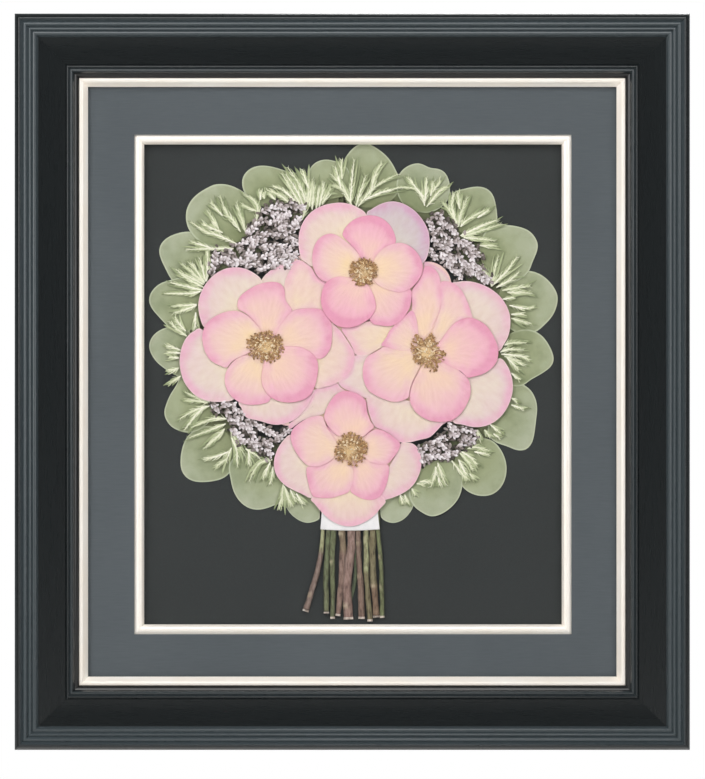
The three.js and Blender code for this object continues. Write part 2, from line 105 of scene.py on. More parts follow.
def new_material(name, base, roughness):
    """A material, its Principled shader and its node tree. The base is a paint chart colour."""
    material = bpy.data.materials.new(name)
    material.use_nodes = True
    shader = material.node_tree.nodes["Principled BSDF"]
    shader.inputs["Base Color"].default_value = colour(*base)
    shader.inputs["Roughness"].default_value = roughness
    return material, shader, material.node_tree


def add_node(tree, kind, inputs=None, **settings):
    """A node with its settings, and its inputs set to a value or joined to another's output."""
    node = tree.nodes.new(kind)
    for name, value in settings.items():
        setattr(node, name, value)
    for name, value in (inputs or {}).items():
        if isinstance(value, bpy.types.NodeSocket):
            tree.links.new(value, node.inputs[name])
        else:
            node.inputs[name].default_value = value
    return node


def make_piece(name, bm, material):
    """The bmesh as a shown object, with one material."""
    mesh = bpy.data.meshes.new(name)
    bm.to_mesh(mesh)
    bm.free()
    mesh.materials.append(material)
    piece = bpy.data.objects.new(name, mesh)
    bpy.context.scene.collection.objects.link(piece)
    return piece


floor_material, _, _ = new_material("studio_floor", (246, 246, 244), 0.85)
bm = bmesh.new()
bmesh.ops.create_grid(bm, x_segments=1, y_segments=1, size=0.5)
floor_size = (2 * FLOOR_HALF_WIDTH, FLOOR_BACK - FLOOR_FRONT, 1)
bmesh.ops.scale(bm, vec=floor_size, verts=bm.verts)
floor_place = (0, (FLOOR_BACK + FLOOR_FRONT) / 2, FLOOR_LEVEL)
bmesh.ops.translate(bm, vec=floor_place, verts=bm.verts)
make_piece("studio_floor", bm, floor_material)

# Each light: its place, its side and its power. All are turned to the frame's middle.
LIGHTS = {
    "light_left": ((-1.75, -1.7, 0.4), 1.5, 25),
    "light_right": ((1.75, -1.7, 0.35), 1.5, 18),
    "light_above": ((-0.1, -1.7, 1.5), 1.6, 28),
    "light_behind": ((0.6, 2.2, 0.9), 1.4, 34),
}
for name, (place, side, power) in LIGHTS.items():
    light = bpy.data.lights.new(name, "AREA")
    light.size = side
    light.energy = power
    lamp = bpy.data.objects.new(name, light)
    lamp.location = place
    lamp.rotation_euler = (FRAME_CENTRE - lamp.location).to_track_quat("-Z", "Y").to_euler()
    bpy.context.scene.collection.objects.link(lamp)

WHITE = colour(255, 255, 255)
ROOM_GLOW = 0.1  # beside the white backdrop that the camera sees
world = bpy.data.worlds.new("studio")
bpy.context.scene.world = world
world.use_nodes = True
tree = world.node_tree
room = tree.nodes["Background"]
room.inputs["Color"].default_value = WHITE
room.inputs["Strength"].default_value = ROOM_GLOW
backdrop = add_node(tree, "ShaderNodeBackground", {"Color": WHITE, "Strength": 1.0})
seen = add_node(tree, "ShaderNodeLightPath").outputs["Is Camera Ray"]
either = add_node(tree, "ShaderNodeMixShader", {0: seen, 1: room.outputs[0], 2: backdrop.outputs[0]})
tree.links.new(either.outputs[0], tree.nodes["World Output"].inputs["Surface"])

# ---------------------------------------------------------------- moulding
# Four lengths of wooden moulding, mitred and glued at the corners and sprayed
# with satin black lacquer. Reeds step down to a flat cove and a pair of beads.
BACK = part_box("rail_top")[1].y  # the moulding's back; a height is measured forward of it
RAIL_WIDTH = 48
RABBET_WALL = 42
RABBET_DEPTH = 16
MITRE_GAP = 0.01
MITRE_BEVEL = 0.05
SHARP = math.radians(34)


def reed(start, end, rise, steps=12):
    """Places over a rounded reed, or down a hollow, from one place on a section up to the next."""
    (u0, h0), (u1, h1) = start, end
    shares = [step / steps for step in range(steps)]
    bow = [rise * math.sin(math.pi * s) for s in shares]
    return [(u0 + (u1 - u0) * s, h0 + (h1 - h0) * s + b) for s, b in zip(shares, bow)]


RAIL_SECTION = [
    (0.3, 0), (0, 0.3), (0, 23),
    *reed((0.4, 25.5), (6.1, 27.75), 3.3, 18),
    *reed((6.1, 27.75), (10.2, 27), 1.5),
    *reed((10.2, 27), (13.4, 26.5), 1.2),
    *reed((13.4, 26.5), (18, 24.4), 1.6),
    *reed((18, 24.2), (38, 22.9), -0.4, 20), (38, 22.9),
    *reed((38.4, 22.5), (41.2, 22.4), 1.3, 10),
    *reed((41.2, 22.4), (45, 20.5), 1.7), (45, 20.5),
    (47.6, 19.2), (RAIL_WIDTH, 18.8), (RAIL_WIDTH, RABBET_DEPTH),
    (RABBET_WALL, RABBET_DEPTH), (RABBET_WALL, 0),
]
SIDES = ("top", "right", "bottom", "left")


def mitred_strip(section, low, high, side, worn=MITRE_BEVEL):
    """A strip along one side of the upright rectangle from low to high, with its ends cut at 45
    degrees and their edges worn round. The section's places are (inward from the rectangle's
    edge, height), in mm, and the UV map runs along the strip and across it, in metres."""
    quarter = SIDES.index(side)
    size = high - low
    length, across = (size.x, size.z) if quarter % 2 == 0 else (size.z, size.x)
    bm = bmesh.new()
    start = bm.faces.new([bm.verts.new((0, -h * MM, -u * MM)) for u, h in section])
    made = bmesh.ops.extrude_face_region(bm, geom=[start])["geom"]
    far = [v for v in made if isinstance(v, bmesh.types.BMVert)]
    near = [v for v in bm.verts if v not in set(far)]
    half = length / 2 - MITRE_GAP * MM
    for end, verts in ((-1, near), (1, far)):
        mitre = Matrix.Identity(4)
        mitre[0][2] = end  # the deeper inward a place is, the shorter the strip
        bmesh.ops.transform(bm, matrix=Matrix.Translation((end * half, 0, 0)) @ mitre, verts=verts)
    ends = [edge for edge in bm.edges if abs(edge.verts[0].co.x - edge.verts[1].co.x) < length / 4]
    bmesh.ops.bevel(
        bm, geom=ends, offset=worn * MM, affect="EDGES", segments=1, profile=0.5, material=-1
    )
    bmesh.ops.recalc_face_normals(bm, faces=bm.faces)
    along = bm.loops.layers.uv.new("along")
    for face in bm.faces:
        face.smooth = True
        for corner in face.loops:
            corner[along].uv = (corner.vert.co.x, corner.vert.co.z - corner.vert.co.y)
    for edge in bm.edges:
        edge.smooth = edge.calc_face_angle(0) < SHARP
    bmesh.ops.translate(bm, vec=(0, 0, across / 2), verts=bm.verts)
    turn = Matrix.Rotation(quarter * math.pi / 2, 4, "Y")
    middle = (low + high) / 2
    shift = Matrix.Translation((middle.x, BACK, middle.z))
    bmesh.ops.transform(bm, matrix=shift @ turn, verts=bm.verts)
    return bm


def mottle_group():
    """Cloudy tone and fine relief: two noises, one broad and one fine, on any coordinates."""
    group = bpy.data.node_groups.new("mottle", "ShaderNodeTree")
    for name, kind in (("Vector", "Vector"), ("Broad", "Float"), ("Fine", "Float")):
        group.interface.new_socket(name, in_out="INPUT", socket_type=f"NodeSocket{kind}")
    for name in ("Cloud", "Grit"):
        group.interface.new_socket(name, in_out="OUTPUT", socket_type="NodeSocketFloat")
    given = add_node(group, "NodeGroupInput")
    clouds = add_node(group, "ShaderNodeTexNoise", {
        "Vector": given.outputs["Vector"], "Scale": given.outputs["Broad"],
        "Detail": 4.0, "Roughness": 0.55})
    grit = add_node(group, "ShaderNodeTexNoise", {
        "Vector": given.outputs["Vector"], "Scale": given.outputs["Fine"],
        "Detail": 3.0, "Roughness": 0.6})
    add_node(group, "NodeGroupOutput", {
        "Cloud": clouds.outputs["Fac"], "Grit": grit.outputs["Fac"]})
    return group


MOTTLE = mottle_group()


def mottle(tree, vector, broad, fine):
    """The mottle group placed in a material, and its two outputs."""
    node = add_node(tree, "ShaderNodeGroup", node_tree=MOTTLE)
    tree.links.new(vector, node.inputs["Vector"])
    node.inputs["Broad"].default_value = broad
    node.inputs["Fine"].default_value = fine
    return node.outputs["Cloud"], node.outputs["Grit"]


def stretched(tree, coordinates, scale):
    """Coordinates stretched so that a pattern runs along one way."""
    mapping = add_node(tree, "ShaderNodeMapping", {"Vector": coordinates, "Scale": scale})
    return mapping.outputs["Vector"]


def ramp(tree, factor, *stops):
    """A colour ramp. Each stop is its position, then its red, green and blue."""
    node = add_node(tree, "ShaderNodeValToRGB", {"Fac": factor})
    elements = node.color_ramp.elements
    while len(elements) < len(stops):
        elements.new(1.0)
    for element, (position, *shade) in zip(elements, stops):
        element.position = position
        element.color = colour(*shade)
    return node.outputs["Color"]


def spread(tree, value, low, high, start=0.0, end=1.0, **settings):
    """A value that runs from start to end, spread between two numbers."""
    node = add_node(tree, "ShaderNodeMapRange", {
        "Value": value, "From Min": start, "From Max": end, "To Min": low, "To Max": high},
        **settings)
    return node.outputs["Result"]


def blended(tree, share, first, second, kind="MIX"):
    """Two colours, with a share of the second mixed into the first or multiplied by it."""
    return add_node(tree, "ShaderNodeMix", {"Factor": share, "A": first, "B": second},
                    data_type="RGBA", blend_type=kind).outputs["Result"]


def averaged(tree, share, first, second):
    """Two values, with a share of the second."""
    node = add_node(tree, "ShaderNodeMix", {"Factor": share, "A": first, "B": second})
    return node.outputs["Result"]


def worked_out(tree, operation, *values):
    """The result of a sum on values."""
    node = add_node(tree, "ShaderNodeMath", dict(enumerate(values)), operation=operation)
    return node.outputs[0]


def attribute(tree, name):
    """The value that a mesh attribute has at each place."""
    return add_node(tree, "ShaderNodeAttribute", attribute_name=name).outputs["Fac"]


def raised(tree, shader, value, height, strength):
    """A pattern that drives a bump."""
    bump = add_node(tree, "ShaderNodeBump", {"Height": value, "Distance": height * MM,
                                             "Strength": strength})
    tree.links.new(bump.outputs["Normal"], shader.inputs["Normal"])


def rough_and_raised(tree, shader, value, rough_low, rough_high, height, strength):
    """One pattern that drives both the roughness and a bump."""
    tree.links.new(spread(tree, value, rough_low, rough_high), shader.inputs["Roughness"])
    raised(tree, shader, value, height, strength)


def lacquer_material():
    """Satin lacquer over wood: grain ghosts along the strip, the reeds and beads are painted greyer
    than the cove between them as a painted sheen, and the frame's outer sides are left matt."""
    material, shader, tree = new_material("black_lacquer", (16, 19, 20), 0.34)
    outside = attribute(tree, "outside")
    uv = add_node(tree, "ShaderNodeUVMap", uv_map="along").outputs["UV"]
    drift, grain = mottle(tree, stretched(tree, uv, (0.04, 1.0, 1.0)), 60.0, 900.0)
    across = add_node(tree, "ShaderNodeSeparateXYZ", {"Vector": uv}).outputs["Y"]
    # The reeds and beads are painted greyer than the cove, stepped by height across the section: a
    # painted sheen.
    painted_reed_sheen = ramp(
        tree, spread(tree, across, 0.0, 1.0, -30 * MM, 30 * MM),
        (0.1, 8, 8, 8), (0.13, 44, 51, 54), (0.2, 46, 53, 56), (0.245, 11, 17, 19),
        (0.6, 12, 19, 21), (0.63, 60, 69, 73), (0.9, 66, 75, 79), (0.95, 16, 21, 23),
    )
    faint = ramp(tree, drift, (0.3, 235, 235, 235), (0.7, 255, 255, 255))
    painted_sheen_and_grain = blended(tree, 1.0, painted_reed_sheen, faint, "MULTIPLY")
    painted = blended(tree, outside, painted_sheen_and_grain, colour(26, 31, 33))
    tree.links.new(painted, shader.inputs["Base Color"])
    sheen = averaged(tree, outside, spread(tree, grain, 0.24, 0.32), 0.75)
    tree.links.new(sheen, shader.inputs["Roughness"])
    tree.links.new(spread(tree, outside, 0.3, 0.0), shader.inputs["Coat Weight"])
    shader.inputs["Coat Roughness"].default_value = 0.2
    raised(tree, shader, grain, 0.05, 0.25)
    return material


black_lacquer = lacquer_material()
outer_low, outer_high = cad_low, cad_high
SIDE_HEIGHT = 23.5  # how far the outer sides stand forward of the moulding's back
SIDE_DEPTH = 0.35  # how far in from the frame's edge a place still counts as on them
for side in SIDES:
    bm = mitred_strip(RAIL_SECTION, outer_low, outer_high, side)
    outside = bm.verts.layers.float.new("outside")
    for vert in bm.verts:
        from_low, from_high = vert.co - outer_low, outer_high - vert.co
        inward = min(from_low.x, from_low.z, from_high.x, from_high.z)
        vert[outside] = inward < SIDE_DEPTH * MM and vert.co.y > BACK - SIDE_HEIGHT * MM
    rail = make_piece(f"moulding_{side}", bm, black_lacquer)
    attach(rail, "root")
    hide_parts(f"rail_{side}")

# ----------------------------------------------------------------- fillets
# Slim wooden strips in champagne silver leaf: one lies on the glass under the
# moulding's lip, the other stands inside the mat's window.
GLASS_FRONT = 14.5
FILLET_WORN = 0.16
OUTER_FILLET_SECTION = [
    (43, GLASS_FRONT), (54.75, GLASS_FRONT), (54.75, 14.8),
    *reed((54.6, 15.0), (52.6, 16.6), 0.15, 5),
    (52.6, 16.6),
    *reed((52.4, 16.9), (48.6, 18.2), 0.75, 10),
    (48.3, 18.0), (48.3, 15.75), (43, 15.75),
]
INNER_FILLET_SECTION = [
    (-5, 9.5), (4, 9.5), (4, 5.25), (7.25, 5.25), (7.25, 9.4),
    *reed((7.0, 9.8), (5.9, 11.0), 0.1, 4),
    (5.9, 11.0),
    *reed((5.7, 11.3), (0.8, 10.95), 0.9, 12),
    (0.3, 10.9), (0.3, 10.75), (-5, 10.75),
]


def silver_leaf_material():
    """Leaf over a pale ground: soft metal with faint clouds, and warmer where it is thin."""
    material, shader, tree = new_material("fillet_silver", (252, 243, 230), 0.4)
    uv = add_node(tree, "ShaderNodeUVMap", uv_map="along").outputs["UV"]
    clouds, grit = mottle(tree, stretched(tree, uv, (0.25, 1.0, 1.0)), 90.0, 1500.0)
    shades = ramp(tree, clouds, (0.25, 252, 241, 226), (0.5, 254, 246, 235), (0.8, 255, 251, 244))
    tree.links.new(shades, shader.inputs["Base Color"])
    shader.inputs["Metallic"].default_value = 0.06
    shader.inputs["IOR"].default_value = 2.1
    rough_and_raised(tree, shader, grit, 0.3, 0.45, 0.02, 0.1)
    return material


fillet_silver = silver_leaf_material()
TONGUE = 5 * MM  # how far the inner fillet reaches under the mat
window_low = Vector((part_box("inner_fillet_left")[0].x + TONGUE, 0,
                     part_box("inner_fillet_bottom")[0].z + TONGUE))
window_high = Vector((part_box("inner_fillet_right")[1].x - TONGUE, 0,
                      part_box("inner_fillet_top")[1].z - TONGUE))
for side in SIDES:
    for name, section, low, high in (
        ("outer_fillet", OUTER_FILLET_SECTION, outer_low, outer_high),
        ("inner_fillet", INNER_FILLET_SECTION, window_low, window_high),
    ):
        bm = mitred_strip(section, low, high, side, FILLET_WORN)
        strip = make_piece(f"{name}_leafed_{side}", bm, fillet_silver)
        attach(strip, "root")
        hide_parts(f"{name}_{side}")

# ------------------------------------------------------------------- glass
# One pane of clear picture glass with ground edges. It lies in the rabbet behind
# the outer fillet, with a little play on both its faces.


def glass_material():
    """Clear glass. Light on its way to and from the picture behind passes straight through."""
    material, shader, tree = new_material("picture_glass", (255, 255, 255), 0.0)
    shader.inputs["Transmission Weight"].default_value = 1.0
    shader.inputs["IOR"].default_value = 1.3
    clear = add_node(tree, "ShaderNodeBsdfTransparent").outputs[0]
    path = add_node(tree, "ShaderNodeLightPath").outputs
    lit = add_node(tree, "ShaderNodeMixShader", {
        0: path["Is Shadow Ray"], 1: shader.outputs[0], 2: clear}).outputs[0]
    open_way = add_node(tree, "ShaderNodeMixShader", {0: path["Is Diffuse Ray"], 1: lit, 2: clear})
    tree.links.new(open_way.outputs[0], tree.nodes["Material Output"].inputs["Surface"])
    return material


GLASS_PLAY = 0.08  # between the pane and the card and fillet that it lies against
GLASS_EDGE = 0.25
pane_low, pane_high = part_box("glass")
bm = bmesh.new()
bmesh.ops.create_cube(bm, size=1)
pane_size = pane_high - pane_low - Vector((0, 2 * GLASS_PLAY * MM, 0))
bmesh.ops.scale(bm, vec=pane_size, verts=bm.verts)
bmesh.ops.bevel(
    bm, geom=bm.edges[:], offset=GLASS_EDGE * MM, affect="EDGES", segments=2, profile=0.5, material=-1
)
bmesh.ops.translate(bm, vec=(pane_low + pane_high) / 2, verts=bm.verts)
pane = make_piece("glass_pane", bm, glass_material())
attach(pane, "root")
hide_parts("glass")

# ------------------------------------------------- mat, boards and spacer
# Slate mat card with a fine linen face, charcoal board behind the flowers, a
# black card spacer between them and plain brown card at the back.


def refinish(node, material):
    """Gives a carried-over CAD node its finish."""
    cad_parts[node].data.materials.clear()
    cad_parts[node].data.materials.append(material)


def object_place(tree):
    """The coordinates of each place on the frame, in metres."""
    return add_node(tree, "ShaderNodeTexCoord").outputs["Object"]


def card_material(name, dark, light, weave, roughness):
    """Card: fine fibres that run across it, over slow clouds. weave is the fibres' stretch."""
    material, shader, tree = new_material(name, light, roughness)
    place = object_place(tree)
    clouds, _ = mottle(tree, place, 9.0, 400.0)
    _, fibres = mottle(tree, stretched(tree, place, weave), 30.0, 1100.0)
    shades = ramp(tree, averaged(tree, 0.6, clouds, fibres), (0.3, *dark), (0.7, *light))
    tree.links.new(shades, shader.inputs["Base Color"])
    rough_and_raised(tree, shader, fibres, roughness - 0.05, roughness, 0.06, 0.3)
    shader.inputs["Specular IOR Level"].default_value = 0.25
    return material


LINEN = (0.06, 1.0, 1.0)
EVEN = (1.0, 1.0, 1.0)
refinish("mat", card_material("slate_mat", (78, 84, 88), (89, 95, 99), LINEN, 0.9))
refinish("mount_board", card_material("charcoal_board", (47, 50, 50), (56, 59, 59), EVEN, 0.95))
refinish("spacer", card_material("spacer_card", (28, 28, 28), (38, 38, 38), EVEN, 0.95))
refinish("backing_board",
         card_material("backing_card", (168, 136, 96), (188, 158, 116), LINEN, 0.95))

# ------------------------------------------------------- back of the frame
# Kraft paper glued over the back, a zinc plated sawtooth hanger nailed to the
# top rail, and two felt bumpers at the lower corners.
refinish("dust_cover", card_material("kraft_paper", (150, 112, 70), (176, 138, 92), LINEN, 0.9))


def zinc_material():
    """Zinc plated steel: pale spangle and drawn scratches."""
    material, shader, tree = new_material("hanger_steel", (190, 192, 194), 0.35)
    lengthwise = stretched(tree, object_place(tree), (0.1, 1.0, 1.0))
    spangle, scratches = mottle(tree, lengthwise, 150.0, 2500.0)
    shades = ramp(tree, spangle, (0.3, 165, 168, 172), (0.7, 208, 209, 208))
    tree.links.new(shades, shader.inputs["Base Color"])
    shader.inputs["Metallic"].default_value = 1.0
    rough_and_raised(tree, shader, scratches, 0.25, 0.5, 0.03, 0.3)
    return material


def felt_material():
    """Pressed black felt: short fibres that catch light at a low angle."""
    material, shader, tree = new_material("bumper_felt", (44, 44, 47), 1.0)
    _, fibres = mottle(tree, object_place(tree), 300.0, 2200.0)
    shades = ramp(tree, fibres, (0.3, 30, 30, 32), (0.75, 66, 66, 70))
    tree.links.new(shades, shader.inputs["Base Color"])
    shader.inputs["Sheen Weight"].default_value = 0.4
    rough_and_raised(tree, shader, fibres, 0.9, 1.0, 0.2, 0.8)
    return material


hanger_steel = zinc_material()
bumper_felt = felt_material()
refinish("sawtooth_hanger", hanger_steel)
refinish("bumper_left", bumper_felt)
refinish("bumper_right", bumper_felt)

# ------------------------------------------------------------------ leaves
# Twenty round dried leaves, pressed flat and glued in a ring. Each is a thin
# sheet whose rim dried paler and whose middle cups a little off the board.
LEAF_THICKNESS = 0.2
LEAF_CUP = 0.15
LEAF_RIPPLE = ((45, 0.22), (120, 0.08))  # how fine each wave of the unevenness is, and its height
LEAF_BASE = 0.35  # how far from a leaf's middle to the bouquet's its veins start
LEAF_PALER = (0.75, 1.05)  # how far along the way to the tip's paler green each leaf gets
BOUQUET_MIDDLE = (-2, 32)  # from the frame's middle, to the right and up
UNDER_SIZE = 0.95  # a lower leaf, beside the one above it
UNDER_INSET = 17
UNDER_LEAF_LEVEL = 4.6
UNDER_THICKNESS = 0.06
UNDER_SHADE = 0.25  # how much of the paler tip's colour it has


def height_of(node):
    """How far forward of the moulding's back the front of a CAD node lies, in mm."""
    return (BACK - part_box(node)[0].y) / MM


def front_outline(node):
    """The outline of a flat CAD node's front face, as places in order round it."""
    bm = bmesh.new()
    bm.from_mesh(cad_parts[node].data)
    bmesh.ops.remove_doubles(bm, verts=bm.verts, dist=0.001 * MM)
    bmesh.ops.delete(bm, geom=[f for f in bm.faces if f.normal.y > -0.9], context="FACES")
    bmesh.ops.dissolve_faces(bm, faces=bm.faces[:])
    loop = [vert.co.copy() for vert in bm.faces[:][0].verts]
    bm.free()
    return loop


RINGS = (0.985, 0.955, 0.88, 0.74, 0.52, 0.26)  # shares of a sheet's outline, rim to middle


def pressed_sheet(loop, heart, base, relief):
    """A thin sheet that fills a loop of places, drawn in ring by ring towards its heart. relief
    gives each vertex its height in mm from its place and how far inward it lies. The fan UV map
    turns about the sheet's base, so that veins can spread from it."""
    bm = bmesh.new()
    inward = bm.verts.layers.float.new("inward")
    reach = bm.verts.layers.float.new("reach")
    ring = [bm.verts.new(place) for place in loop]
    edges = [bm.edges.new(pair) for pair in zip(ring, ring[1:] + ring[:1])]
    before = 1.0
    for share in RINGS:
        made = bmesh.ops.extrude_edge_only(bm, edges=edges)["geom"]
        ring = [v for v in made if isinstance(v, bmesh.types.BMVert)]
        edges = [e for e in made if isinstance(e, bmesh.types.BMEdge)]
        shrink = share / before
        bmesh.ops.scale(bm, vec=(shrink,) * 3, space=Matrix.Translation(-heart), verts=ring)
        for vert in ring:
            vert[inward] = 1 - share
        before = share
    core = bmesh.ops.contextual_create(bm, geom=edges)["faces"]
    for vert in bmesh.ops.poke(bm, faces=core)["verts"]:
        vert[inward] = 1.0
    furthest = max((place - base).length for place in loop)
    for vert in bm.verts:
        vert[reach] = (vert.co - base).length / furthest
    fan = bm.loops.layers.uv.new("fan")
    bisector = math.atan2(*(heart - base).xz)
    for face in bm.faces:
        face.smooth = True
        for corner in face.loops:
            across, up = (corner.vert.co - base).xz
            angle = (math.atan2(across, up) - bisector + math.pi) % (2 * math.pi) - math.pi
            corner[fan].uv = (angle, math.hypot(across, up) / MM)
    for vert in bm.verts:
        vert.co.y = BACK - relief(vert.co, vert[inward]) * MM
    bmesh.ops.recalc_face_normals(bm, faces=bm.faces)
    if sum(face.normal.y for face in bm.faces) > 0:
        bmesh.ops.reverse_faces(bm, faces=bm.faces)
    return bm


def finish_sheet(piece, thickness, levels):
    """Smooths a pressed sheet and gives it its thickness, behind its face."""
    smooth = piece.modifiers.new("smooth", "SUBSURF")
    smooth.levels = smooth.render_levels = levels
    thick = piece.modifiers.new("thick", "SOLIDIFY")
    thick.thickness = thickness * MM
    thick.offset = -1


def centre_of(places):
    """The mean of some places."""
    return sum(places, Vector()) / len(places)


def stamp(bm, name, value):
    """Gives every vertex the same value of an attribute."""
    layers = bm.verts.layers.float
    layer = layers[name] if name in layers else layers.new(name)
    for vert in bm.verts:
        vert[layer] = value


def scale_reach(bm, share):
    """Draws in how far out each place of a sheet counts as lying, for its colours."""
    reach = bm.verts.layers.float["reach"]
    for vert in bm.verts:
        vert[reach] *= share


def unevenness(place, waves):
    """The height in mm of noises at a place. Each wave is how fine it is, and its height."""
    return sum(noise.noise(place * fineness) * height for fineness, height in waves)


def leaf_material():
    """Dried leaf: sage green, bluer towards the tip, with a thin pale rim and faint net veins."""
    material, shader, tree = new_material("leaf_sage", (152, 164, 125), 0.7)
    place = object_place(tree)
    inward = attribute(tree, "inward")
    reach = attribute(tree, "reach")
    clouds, grit = mottle(tree, place, 55.0, 1400.0)
    blade = ramp(tree, reach, (0.0, 84, 88, 66), (0.3, 137, 143, 107), (0.6, 160, 167, 133),
                 (0.95, 178, 183, 160))
    drift = ramp(tree, clouds, (0.3, 216, 221, 208), (0.5, 240, 241, 234), (0.7, 255, 255, 255))
    tinted = blended(tree, 1.0, blade, drift, "MULTIPLY")
    edge = spread(tree, inward, 0.8, 0.0, 0.01, 0.06)
    outer_half = spread(tree, reach, 0.0, 1.0, 0.4, 0.6)
    rim = worked_out(tree, "MULTIPLY", edge, outer_half)
    rimmed = blended(tree, rim, tinted, colour(198, 204, 176))
    tree.links.new(rimmed, shader.inputs["Base Color"])
    cells = add_node(tree, "ShaderNodeTexVoronoi", {"Vector": place, "Scale": 700.0},
                     feature="DISTANCE_TO_EDGE")
    relief = averaged(tree, 0.5, grit, cells.outputs["Distance"])
    rough_and_raised(tree, shader, relief, 0.6, 0.85, 0.12, 0.4)
    shader.inputs["Specular IOR Level"].default_value = 0.3
    return material


leaf_sage = leaf_material()
aside, up = BOUQUET_MIDDLE
bouquet = Vector((0, 0, FRAME_CENTRE.z)) + Vector((aside * MM, 0, up * MM))
LEAVES = sorted(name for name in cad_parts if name.startswith("leaf_"))
dice = random.Random("leaves")
for name in LEAVES:
    loop = front_outline(name)
    front = height_of(name)
    for place in loop:
        place.y = 0
    heart = centre_of(loop)

    def leaf_relief(place, inward):
        cupped = LEAF_CUP * (min(1, inward * 3) - 1)
        return front + cupped + unevenness(place, LEAF_RIPPLE) * (0.3 + inward)

    bm = pressed_sheet(loop, heart, heart.lerp(bouquet, LEAF_BASE), leaf_relief)
    scale_reach(bm, dice.uniform(*LEAF_PALER))
    leaf = make_piece(f"{name}_pressed", bm, leaf_sage)
    finish_sheet(leaf, LEAF_THICKNESS, 1)
    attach(leaf, "root")
    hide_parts(name)

    # A smaller leaf of the same branch lies below it, nearer the middle of the bouquet.
    inner = heart + (bouquet - heart).normalized() * UNDER_INSET * MM
    loop = [inner + (place - heart) * UNDER_SIZE for place in loop]
    bm = pressed_sheet(loop, inner, inner.lerp(bouquet, LEAF_BASE),
                       lambda place, inward: UNDER_LEAF_LEVEL)
    stamp(bm, "inward", 1.0)
    scale_reach(bm, UNDER_SHADE)
    under_leaf = make_piece(f"{name}_under", bm, leaf_sage)
    finish_sheet(under_leaf, UNDER_THICKNESS, 1)
    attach(under_leaf, "root")

# ------------------------------------------------------------------- roses
# Four dried roses, pressed flat. In each, pale outer petals lie under five or six
# pinker inner ones that lap round the tuft. Every petal is a thin sheet of its own.
PETAL_THICKNESS = 0.08
PETAL_STEPS = 3  # places between two of an outline's own
PETAL_RIPPLE = ((30, 0.2), (110, 0.07))
PETAL_CURL = 0.02  # how far a rim stands up from its sheet
CURL_REACH = 0.06  # how far inward the curl dies away, as a share of the sheet
CUP_LEVEL = 8.42  # of the round sheet below the inner petals, which shows between their bases
OUTER_RISE = 0.13  # from each outer petal up to the next, the last of them just below the cup
INNER_RISE = 0.16
CUP_BLUSH = 0.8
OUTER_FADE = 0.6  # how much of its pink an outer petal has kept

